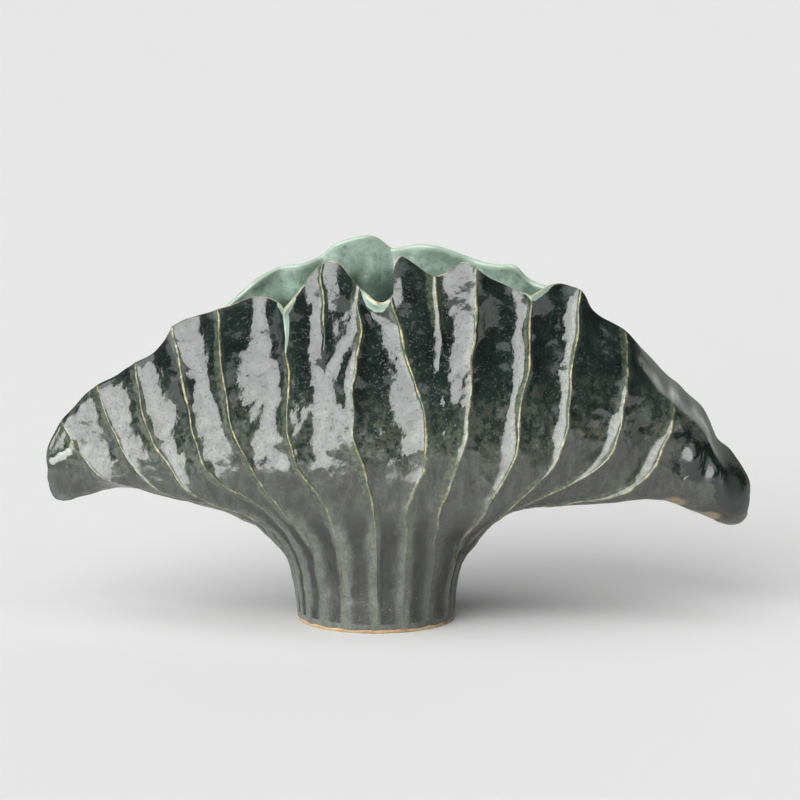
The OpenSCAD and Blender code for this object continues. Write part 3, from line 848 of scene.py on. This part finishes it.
def patches(add, where, size, low, high, least=0, most=1, detail=4, roughness=0.6):
    """Soft-edged patches about size across: least between them and most inside them."""
    cloud = add("TexNoise", where, 1 / size, detail, roughness)
    return add("MapRange", cloud, low, high, least, most, **SOFT)

# %% [markdown]
# A real glaze is never one colour. The dark outside is built up in layers. First comes a
# cloudy depth with olive mottling of one to five millimetres, strongest over the belly.

# %% The thick dark glaze
MOTTLE_LOW, MOTTLE_HIGH = 112 * MM, 172 * MM
MOTTLE_DRIFT = 30 * MM


def dark_body(add, where, z):
    """The thick dark glaze with its olive mottling."""
    cloud = patches(add, where, 16 * MM, 0.35, 0.65, detail=3)
    deep = add("Mix", cloud, "#0b1514", "#1a2723", **COLOUR)
    drift = add("Math", clouds(add, where, 22 * MM, 2 * MOTTLE_DRIFT, 3), MOTTLE_DRIFT, **MINUS)
    height = add("Math", z, drift, **PLUS)
    amount = add("MapRange", height, MOTTLE_HIGH, MOTTLE_LOW, 0.05, 0.85, **SOFT)
    olive = add("Mix", patches(add, where, 7 * MM, 0.42, 0.60, detail=3),
                "#55554a", "#5a6158", **COLOUR)
    deep = add("Mix", add("Math", amount, 0.6, **TIMES), deep, "#323a35", **COLOUR)
    mottle = patches(add, where, 4.8 * MM, 0.38, 0.62)
    body = add("Mix", add("Math", mottle, amount, **TIMES), deep, olive, **COLOUR)
    fleck = patches(add, where, 1.1 * MM, 0.62, 0.70, 0, 0.6, detail=3)
    return add("Mix", add("Math", fleck, amount, **TIMES), body, "#8a8f78", **COLOUR)


print("mottling fades out between, in mm:", round(MOTTLE_LOW / MM), round(MOTTLE_HIGH / MM))

# %% [markdown]
# Low down the coat is thinner and brown-grey, with runs along it. On the stem the ribs carry
# painted light and the crevices nearly black painted shade; the crevices also dried matt.
# It is peppered with dark specks and, near the foot, with white ones.

# %% The thin coat low down
# Height counts for less than width, so that clouds are drawn out into runs
RUN_SCALE = (1, 1, 0.3)
UNTURNED = UNMOVED = (0, 0, 0)
STEM_FADE, SALT_FADE = (92 * MM, 62 * MM), (45 * MM, 12 * MM)
# Painted light makes it paler towards the left side, where the main light falls, and painted shade
# darker towards the right one
LIT_LEFT_SIDE, SHADED_RIGHT_SIDE = (10 * MM, -45 * MM), (10 * MM, 38 * MM)
SMEAR = 0.25


def stem_coat(add, stretched, x, paints):
    """The stem's coat with its painted light and shade, and how deep in a crevice a place is."""
    smear = add("Math", clouds(add, stretched, 5 * MM, 2 * SMEAR), SMEAR, **MINUS)
    hollow = add("Math", paints["hollow"], smear, **PLUS)
    # Painted light on the ribs and painted shade in the troughs between them
    rib_light = add("MapRange", hollow, 0.78, 0.25, **SOFT)
    coat = add("Mix", rib_light, "#40423d", "#72776f", **COLOUR)
    # Painted light on the left side and painted shade on the right side
    pale = add("MapRange", x, *LIT_LEFT_SIDE, 0, 0.45, **SOFT)
    coat = add("Mix", pale, coat, "#7c827b", **COLOUR)
    dark = add("MapRange", x, *SHADED_RIGHT_SIDE, 0, 0.8, **SOFT)
    coat = add("Mix", dark, coat, "#373834", **COLOUR)
    specks = clouds(add, stretched, 2.2 * MM, 0.7, 5, 0.7)
    # Nearly black painted shade deep in the crevices, which are also made rougher
    crevice = add("MapRange", add("Math", hollow, specks, **PLUS), 1.00, 1.28, **SOFT)
    return add("Mix", crevice, coat, "#141612", **COLOUR), crevice


def thin_coat(add, where, x, z, paints):
    """The thinner coat under the wings and on the stem, and how dry it is in the crevices."""
    stretched = add("Mapping", where, UNMOVED, UNTURNED, RUN_SCALE)
    runs = patches(add, stretched, 4.5 * MM, 0.38, 0.64, detail=5, roughness=0.65)
    coat = add("Mix", runs, "#373834", "#4a4d46", **COLOUR)
    on_stem, crevice = stem_coat(add, stretched, x, paints)
    stem = add("MapRange", z, *STEM_FADE, **SOFT)
    ragged = add("Math", stem, add("MapRange", runs, 0, 1, 0.6, 1, **SOFT), **TIMES)
    coat = add("Mix", ragged, coat, on_stem, **COLOUR)
    pepper = patches(add, where, 1.5 * MM, 0.48, 0.64, 0, 0.65, detail=5, roughness=0.7)
    coat = add("Mix", pepper, coat, "#2b2c29", **COLOUR)
    salt = patches(add, where, 1.2 * MM, 0.66, 0.72, 0, 0.7, detail=2)
    salt = add("Math", salt, add("MapRange", z, *SALT_FADE, **SOFT), **TIMES)
    return (add("Mix", salt, coat, "#b9bcb2", **COLOUR),
            add("Math", crevice, stem, **TIMES))


print("the stem's coat ends between, in mm:", [round(z / MM) for z in STEM_FADE])

# %% [markdown]
# The wing ends were handled most. There the dark glaze pooled, the fold at the left has a
# pale streak painted on as its highlight, and in two places under the right tip bare clay shows.

# %% Pools, the fold and bare clay
def worked_ends(add, where, body, dry, paints):
    """The body's colour with the pools, the fold's painted highlight and bare clay, and how dry it
    is now.
    """
    ragged = add("Math", add("TexNoise", where, 1 / (4 * MM), 4, 0.6), 0.5, **MINUS)
    ragged = add("Math", ragged, 1.2, **TIMES)
    pools = add("Math", paints["pools"], ragged, **PLUS)
    body = add("Mix", add("MapRange", pools, 0.45, 0.75, **SOFT), body, "#0f1c18", **COLOUR)
    # A pale streak painted on the fold as its highlight
    fold_highlight = add("MapRange", add("Math", paints["fold"], ragged, **PLUS), 0.85, 1.15, **SOFT)
    body = add("Mix", fold_highlight, body, "#a9ada7", **COLOUR)
    matt = add("MapRange", pools, 1.5, 2.2, 0, 0.9, **SOFT)
    bare = add("MapRange", pools, -0.40, -0.90, 0, 0.8, **SOFT)
    return (add("Mix", bare, body, "#937f5a", **COLOUR),
            add("Math", dry, matt, operation="MAXIMUM"))


print("pools and bare places:", len(POOLS), "spots on the fold:", len(FOLD))

# %% [markdown]
# Along each ridge there are three marks: an olive strip where the glaze is thin on the steep
# flank, a faint thin zone on both sides, and the broken cream line on the ridge itself.

# %% Marks along the ridges
# Distances from the ridge in mm at which each mark has faded out and is in full
STRIP_MM, THIN_MM, LINE_MM = (6.4, 5.0), (4, 0.8), (1.85, 1.25)
STRIP_ROWS, LINE_ROWS = (0.35, 0.6), (0.15, 0.55)


def ridge_marks(add, where, body, paints):
    """The body's colour with the marks of the ridges and the seam on the right wing."""
    frayed = add("Math", paints["rise_mm"], clouds(add, where, 5 * MM, 3), **PLUS)
    strip = add("MapRange", frayed, *STRIP_MM, 0, 0.8, **SOFT)
    high_up = add("MapRange", paints["height_share"], *STRIP_ROWS, **SOFT)
    moss = add("Mix", patches(add, where, 3 * MM, 0.40, 0.60), "#343d34", "#59624e", **COLOUR)
    body = add("Mix", add("Math", strip, high_up, **TIMES), body, moss, **COLOUR)
    thin = add("MapRange", paints["ridge_mm"], *THIN_MM, 0, 0.3, **SOFT)
    body = add("Mix", thin, body, "#4b5546", **COLOUR)
    body = add("Mix", add("Math", paints["seam"], 0.9, **TIMES), body, "#6c6f6a", **COLOUR)
    jitter = clouds(add, where, 2.6 * MM, 2.2)
    line = add("Math", paints["ridge_mm"], jitter, **PLUS)
    line = add("MapRange", line, *LINE_MM, **SOFT)
    worn = patches(add, where, 8 * MM, 0.40, 0.58, 0.18, 1)
    shown = add("MapRange", paints["height_share"], *LINE_ROWS, 0.12, 1, **SOFT)
    line = add("Math", add("Math", line, worn, **TIMES), shown, **TIMES)
    tan = patches(add, where, 5 * MM, 0.40, 0.60, detail=3)
    cream = add("Mix", tan, "#77734f", "#a69f79", **COLOUR)
    return add("Mix", line, body, cream, **COLOUR)


print("the cream line fades out over, in mm:", LINE_MM)

# %% [markdown]
# Now the outside is put together. The thin coat ends under the wings in a ragged edge, which
# lies a little higher on the right.

# %% The whole outside
COAT_TOP, COAT_SLOPE = 117 * MM, 0.07


def glaze_outside(add, where, paints):
    """Colour of the outside, how much of the thin lower coat shows, and how dry it is."""
    split = add("SeparateXYZ", where).node.outputs
    x, z = split["X"], split["Z"]
    edge = add("Math", z, add("Math", x, COAT_SLOPE, **TIMES), **MINUS)
    edge = add("Math", edge, clouds(add, where, 9 * MM, 14 * MM), **PLUS)
    low = add("MapRange", edge, COAT_TOP + 8 * MM, COAT_TOP - 4 * MM, **SOFT)
    coat, dry = thin_coat(add, where, x, z, paints)
    body = add("Mix", low, dark_body(add, where, z), coat, **COLOUR)
    body, dry = worked_ends(add, where, body, dry, paints)
    return ridge_marks(add, where, body, paints), low, dry


print("top of the thin coat in mm:", round(COAT_TOP / MM))

# %% [markdown]
# Inside, the celadon is mint where it is thick and greyer in patches. Deep below the rim it
# turns dark green as painted shade. The lip is where both glazes run thin: a line of cream
# on the outer edge, which turns to pale green on top.

# %% The inside and the lip
# How far below the rim the painted shade inside begins and is full, in mm
INSIDE_SHADE_MM = (18, 38)


def celadon_inside(add, where, paints):
    """The pale green glaze, with dark green painted shade deep below the rim."""
    cloud = patches(add, where, 18 * MM, 0.38, 0.62)
    celadon = add("Mix", cloud, "#71877b", "#9ab0a2", **COLOUR)
    smoke = patches(add, where, 6 * MM, 0.50, 0.68, 0, 0.6, detail=5, roughness=0.7)
    celadon = add("Mix", smoke, celadon, "#4d6257", **COLOUR)
    fleck = patches(add, where, 2.6 * MM, 0.58, 0.72, 0, 0.4, detail=5, roughness=0.7)
    celadon = add("Mix", fleck, celadon, "#bccdbd", **COLOUR)
    # Dark green painted shade deep below the rim, where little light gets in
    drift = add("Math", paints["below_rim_mm"], clouds(add, where, 14 * MM, 14, 2), **PLUS)
    depth_shade = add("MapRange", drift, *INSIDE_SHADE_MM, 0, 0.85, **SOFT)
    return add("Mix", depth_shade, celadon, "#30463b", **COLOUR)


def lip_over(add, where, colour, paints):
    """The colour with the thin glaze of the lip over it."""
    ragged = add("Math", paints["lip"], clouds(add, where, 4 * MM, 0.3), **PLUS)
    rim = add("MapRange", ragged, 0.95, 1.1, **SOFT)
    tan = patches(add, where, 6 * MM, 0.40, 0.60, detail=3)
    cream = add("Mix", tan, "#85805e", "#bcb38a", **COLOUR)
    cream = add("Mix", paints["inside"], cream, "#9cb2a0", **COLOUR)
    return add("Mix", rim, colour, cream, **COLOUR)


# How far below the rim the painted shade inside begins and is full
print("the inner glaze pools this far below the rim, in mm:", INSIDE_SHADE_MM)

# %% [markdown]
# Glaze is glass, so the shader is glossy and has the high IOR of an iron glaze, but the
# dry crevices, the inside, the lip and the seam are duller. A soft bump gives the surface
# its slow waves, the fine orange peel, and pits where bubbles burst. Real pits are finer,
# and are drawn 1.7 mm wide so that they show.

# %% The glazed stoneware
GLAZE_IOR = 1.8
# How much each of them adds to the roughness
ROUGH_LOW, ROUGH_INSIDE, ROUGH_LIP, ROUGH_SEAM, ROUGH_DRY = 0.10, 0.12, 0.15, 0.4, 0.35


def glazed_stoneware():
    """Dark glaze outside, celadon inside and cream on the lip and the ridges."""
    material, add = new_material("glazed_stoneware")
    where = add("TexCoord", output="Object")
    paints = {n: add("Attribute", attribute_name=n, output="Fac") for n in PAINTS}
    outside, low, dry = glaze_outside(add, where, paints)
    run_over = add("Math", paints["spill_mm"], clouds(add, where, 5 * MM, 3), **PLUS)
    spilled = add("MapRange", run_over, 1.1, 2.0, **SOFT)
    outside = add("Mix", spilled, outside, "#9fb5a6", **COLOUR)
    is_inside = add("MapRange", paints["inside"], 0.3, 0.7, **SOFT)
    colour = add("Mix", is_inside, outside, celadon_inside(add, where, paints), **COLOUR)
    colour = lip_over(add, where, colour, paints)
    rough = patches(add, where, 7 * MM, 0.35, 0.7, 0.09, 0.17, detail=5)
    for amount, by in ((low, ROUGH_LOW), (paints["inside"], ROUGH_INSIDE),
                       (paints["lip"], ROUGH_LIP), (paints["seam"], ROUGH_SEAM),
                       (dry, ROUGH_DRY)):
        rough = add("Math", rough, add("Math", amount, by, **TIMES), **PLUS)
    skin = add("Math", clouds(add, where, 8 * MM, 2.2, 2, 0.45),
               clouds(add, where, 3 * MM, 0.6, 1), **PLUS)
    pits = patches(add, where, 1.7 * MM, 0.70, 0.64, -0.5, 0, detail=1)
    skin = add("Math", skin, pits, **PLUS)
    bump = add("Bump", named=[("Height", skin), ("Strength", 0.6), ("Distance", 0.28 * MM)])
    shader = add("BsdfPrincipled", named=[("Base Color", colour), ("Roughness", rough),
                                          ("IOR", GLAZE_IOR), ("Normal", bump)])
    add("OutputMaterial", shader)
    return material


glaze = glazed_stoneware()
print("nodes in the glaze:", len(glaze.node_tree.nodes))

# %% [markdown]
# The foot's edge shows the body itself: fired buff stoneware, wiped clean of glaze where the
# vase stands in the kiln. It is matt, toasted in patches, and speckled with grog. The grog
# and the grit are drawn a little coarser than they are, so that they show.

# %% The bare clay
def bare_stoneware():
    """Fired buff clay with its grog."""
    material, add = new_material("bare_buff_stoneware")
    where = add("TexCoord", output="Object")
    toast = patches(add, where, 9 * MM, 0.35, 0.7)
    colour = add("Mix", toast, "#c9ae86", "#9c7f5c", **COLOUR)
    grog = patches(add, where, 0.9 * MM, 0.56, 0.68, 0, 0.7, detail=3)
    colour = add("Mix", grog, colour, "#6d5a44", **COLOUR)
    grit = add("TexNoise", where, 1 / (0.7 * MM), 4, 0.7)
    bump = add("Bump", named=[("Height", grit), ("Strength", 0.6), ("Distance", 0.2 * MM)])
    shader = add("BsdfPrincipled", named=[("Base Color", colour), ("Roughness", 0.82),
                                          ("IOR", 1.5), ("Normal", bump)])
    add("OutputMaterial", shader)
    return material


clay = bare_stoneware()
print("materials:", [m.name for m in bpy.data.materials])

# %% [markdown]
# The floor slab is the disc that the vase stands on. The potter wiped its lowest two
# millimetres clean, so that it wouldn't stick to the kiln shelf, and the glaze ends above
# that in a slightly wavy, rounded edge. It is a turned form, so its profile is spun.

# %% The floor slab
BARE_BAND = 2.3 * MM
GLAZE_EDGE = 0.35 * MM
SLAB_ROUND = 1.2 * MM
SPIN_STEPS = 240
# Where the glaze's edge starts and ends, how far it waves up and down, and over what distance
WAVY_FROM, WAVY_TO = BARE_BAND - 0.1 * MM, BARE_BAND + 1.0 * MM
WAVE_HEIGHT, WAVE_LENGTH = 1.1 * MM, 9 * MM
# The clay shows up to here, and so far in from the outside that the glaze's edge is left out
CLAY_TOP, CLAY_R = BARE_BAND + 0.9 * MM, FOOT_R - 0.1 * MM
SHARP_ANGLE = 50
# What the glaze has to know about the slab: far from any ridge, low down, far below the rim
SLAB_PAINTS = {"ridge_mm": FAR_MM, "rise_mm": FAR_MM, "height_share": 0, "hollow": 0.5,
               "below_rim_mm": 200, "spill_mm": -FAR_MM}


def slab_profile():
    """Half the slab's outline, from the middle of its underside round to the middle on top."""
    clay_r = FOOT_R - GLAZE_EDGE
    turns = [math.radians(a) for a in range(0, 91, 15)]
    flat_r = clay_r - SLAB_ROUND
    corner = [(flat_r + SLAB_ROUND * math.sin(a), SLAB_ROUND - SLAB_ROUND * math.cos(a))
              for a in turns]
    edge = [(clay_r + GLAZE_EDGE * math.sin(a), BARE_BAND + GLAZE_EDGE * (1 - math.cos(a)))
            for a in turns]
    return [(0, 0), (clay_r / 2, 0), *corner, *edge, (FOOT_R, FLOOR_T * 0.7), (FOOT_R, FLOOR_T),
            (FOOT_R - WALL, FLOOR_T), (FOOT_R / 2, FLOOR_T), (0, FLOOR_T)]


def floor_slab():
    """The spun slab, with clay below and glaze above."""
    bm = bmesh.new()
    verts = [bm.verts.new((r, 0, z)) for r, z in slab_profile()]
    edges = [bm.edges.new(pair) for pair in zip(verts, verts[1:])]
    bmesh.ops.spin(bm, geom=verts + edges, cent=(0, 0, 0), axis=(0, 0, 1), dvec=(0, 0, 0),
                   angle=2 * math.pi, steps=SPIN_STEPS, use_merge=True)
    bmesh.ops.remove_doubles(bm, verts=bm.verts[:], dist=MERGE)
    bmesh.ops.recalc_face_normals(bm, faces=bm.faces[:])
    for v in bm.verts:
        if WAVY_FROM < v.co.z < WAVY_TO:
            v.co.z += WAVE_HEIGHT * noise.noise(Vector((v.co.x, v.co.y, 0)) / WAVE_LENGTH)
    for face in bm.faces:
        middle = face.calc_center_median()
        bare = middle.z < CLAY_TOP and middle.xy.length < CLAY_R
        face.material_index = 1 if bare else 0
    mesh = bpy.data.meshes.new("floor_slab_turned")
    bm.to_mesh(mesh)
    bm.free()
    mesh.shade_smooth()
    mesh.set_sharp_from_angle(angle=math.radians(SHARP_ANGLE))
    for material in (glaze, clay):
        mesh.materials.append(material)
    on_top = [float(v.co.z > FLOOR_T - MERGE and v.co.xy.length < FOOT_R - WALL / 2)
              for v in mesh.vertices]
    levels = {n: [float(value)] * len(on_top) for n, value in SLAB_PAINTS.items()}
    for paint_name, values in {**levels, "inside": on_top}.items():
        layer = mesh.attributes.new(paint_name, "FLOAT", "POINT")
        layer.data.foreach_set("value", values)
    piece = bpy.data.objects.new("floor_slab_turned", mesh)
    bpy.context.scene.collection.objects.link(piece)
    return piece


slab = floor_slab()
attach(slab, "root")
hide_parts("floor_slab")
print("slab faces:", len(slab.data.polygons))

# %% [markdown]
# Now the pieces themselves. Each one stands for the node of the same place in the model:
# the stem, a keel under each wing, the panels between their ridges, front and back, and
# the solid ends.

# %% All wall pieces
LEFT_TIP, LEFT_SEAM, MIDDLE_SEAM, RIGHT_SEAM, RIGHT_TIP = 2, 5, 8, 12, 15
foot_rows = list(range(0, WALL_START + 1))
keel_rows = list(range(WALL_START, TIP_START + 1))
panel_rows = list(range(WALL_START, LAST_ROW + 1))
tip_rows = list(range(TIP_START, LAST_ROW + 1))
PANELS = {"_left_panel": (LEFT_TIP, LEFT_SEAM), "_centre_left_panel": (LEFT_SEAM, MIDDLE_SEAM),
          "_centre_right_panel": (MIDDLE_SEAM, RIGHT_SEAM), "_right_panel": (RIGHT_SEAM, RIGHT_TIP)}


def between_ridges(at_side, from_ridge, to_ridge):
    """The columns from one ridge to another, at the front (-1) or the back (1)."""
    count = (to_ridge - from_ridge) * FLUTE_COLUMNS + 1
    first = from_ridge if at_side < 0 else 2 * RIDGES - to_ridge
    return ring_columns(first * FLUTE_COLUMNS, count)


left_end = ring_columns(RING - LEFT_TIP * FLUTE_COLUMNS, 2 * LEFT_TIP * FLUTE_COLUMNS + 1)
right_end = between_ridges(-1, RIGHT_TIP, 2 * RIDGES - RIGHT_TIP)
WALLS = {"foot_wall": (ring_columns(0, RING + 1), foot_rows),
         "left_keel": (left_end, keel_rows), "right_keel": (right_end, keel_rows)}
for word, at_side in (("front", -1), ("back", 1)):
    for place_name, ridges in PANELS.items():
        WALLS[word + place_name] = (between_ridges(at_side, *ridges), panel_rows)
made = {name: wall_piece(name + "_glazed", *net) for name, net in WALLS.items()}
made["left_tip"] = end_piece("left_tip_glazed", left_end, tip_rows)
made["right_tip"] = end_piece("right_tip_glazed", right_end, tip_rows)
for name, piece in made.items():
    piece.data.materials.append(glaze)
    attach(piece, "root")
    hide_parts(name)
    print(name, "triangles:", sum(len(p.vertices) - 2 for p in piece.data.polygons))

# %% [markdown]
# The studio is plain: a pale floor out to the horizon, a large soft light at the front left,
# and weaker ones at the left, overhead, at the front right and behind. The rest is dark,
# because a glossy dark glaze looks dark only where it mirrors something dark.

# %% Floor
# Half its side, in metres
FLOOR_REACH = 40


def pale_floor():
    """A matt floor, out to where the studio's pale horizon takes over."""
    bm = bmesh.new()
    bmesh.ops.create_grid(bm, x_segments=1, y_segments=1, size=FLOOR_REACH)
    mesh = bpy.data.meshes.new("pale_floor")
    bm.to_mesh(mesh)
    bm.free()
    material, add = new_material("matt_pale_floor")
    add("OutputMaterial",
        add("BsdfPrincipled", named=[("Base Color", "#dbdbdb"), ("Roughness", 0.9)]))
    mesh.materials.append(material)
    floor = bpy.data.objects.new("pale_floor", mesh)
    bpy.context.scene.collection.objects.link(floor)
    return floor


floor = pale_floor()
print("floor corners:", len(floor.data.vertices))

# %% Lights
# Azimuth from the front to the right, elevation, half angle and radiance of each softbox
SOFTBOXES = [(-32, 28, 27, 4.6), (-95, 58, 18, 1.5), (0, 80, 20, 1.1), (40, 50, 15, 0.9),
             (170, 25, 26, 0.6)]
EDGE_SOFTNESS = 0.06
# Heights of the horizon's strip, as the z of a direction, and the light on it and above it
HORIZON, HORIZON_LIGHT, DIM_LIGHT = (0.02, 0.05), 0.75, 0.05
# A direction square to the softbox or behind it counts as just ahead, and so as far off
JUST_AHEAD = 0.001
SUN_POWER, SUN_WIDTH, SUN_TILT, SUN_TURN = 0.15, 30, 62, -32


def softbox(add, direction, azimuth, elevation, half_angle, radiance):
    """Brightness of a square softbox, far off in one direction of the sky."""
    a, e = math.radians(azimuth), math.radians(elevation)
    centre = (math.sin(a) * math.cos(e), -math.cos(a) * math.cos(e), math.sin(e))
    right = (math.cos(a), math.sin(a), 0)
    up = tuple(Vector(right).cross(Vector(centre)) * -1)
    ahead, across, upwards = [add("VectorMath", direction, axis, operation="DOT_PRODUCT")
                              for axis in (centre, right, up)]
    ahead = add("Math", ahead, JUST_AHEAD, operation="MAXIMUM")
    offs = [add("Math", value, operation="ABSOLUTE") for value in (across, upwards)]
    off = add("Math", add("Math", *offs, operation="MAXIMUM"), ahead, operation="DIVIDE")
    reach_out = math.tan(math.radians(half_angle))
    return add("MapRange", off, reach_out + EDGE_SOFTNESS, reach_out, 0, radiance, **SOFT)


def dim_studio():
    """A dark studio with softboxes, and a pale strip on the horizon, where the floor ends."""
    world = bpy.data.worlds.new("dim_studio")
    bpy.context.scene.world = world
    world.use_nodes = True
    world.node_tree.nodes.clear()
    add = partial(node, world.node_tree)
    direction = add("TexCoord", output="Generated")
    z = add("SeparateXYZ", direction, output="Z")
    strength = add("MapRange", z, *HORIZON, HORIZON_LIGHT, DIM_LIGHT, **SOFT)
    for box in SOFTBOXES:
        strength = add("Math", strength, softbox(add, direction, *box), **PLUS)
    add("OutputWorld", add("Background", (1, 1, 1, 1), strength))


def fill_light():
    """A weak sun from the front left, in line with the largest softbox."""
    lamp = bpy.data.lights.new("fill_sun", "SUN")
    lamp.energy = SUN_POWER
    lamp.angle = math.radians(SUN_WIDTH)
    holder = bpy.data.objects.new("fill_sun", lamp)
    holder.rotation_euler = (math.radians(SUN_TILT), 0, math.radians(SUN_TURN))
    bpy.context.scene.collection.objects.link(holder)


dim_studio()
fill_light()
print("softboxes:", len(SOFTBOXES))

# %% [markdown]
# The camera stands 2.6 m in front and looks slightly down, with a long lens, as a product
# photographer would. That flattens the fan and shows a little of the inside.

# %% Camera
LOOK_AT = Vector((15.5 * MM, 0, 143.4 * MM))
DISTANCE, LOOK_DOWN = 2.6, 9.3
FRAME_PX, PX_PER_M = 800, 1545
lens_data = bpy.data.cameras.new("front_camera")
camera = bpy.data.objects.new("front_camera", lens_data)
bpy.context.scene.collection.objects.link(camera)
down = math.radians(LOOK_DOWN)
back = Vector((0, -math.cos(down), math.sin(down)))
camera.location = LOOK_AT + back * DISTANCE
camera.rotation_euler = (-back).to_track_quat("-Z", "Y").to_euler()
lens_data.sensor_width = 36
lens_data.lens = lens_data.sensor_width * DISTANCE / (FRAME_PX / PX_PER_M)
bpy.context.scene.camera = camera
bpy.context.scene.view_settings.view_transform = "Standard"
print("lens in mm:", round(lens_data.lens, 1))
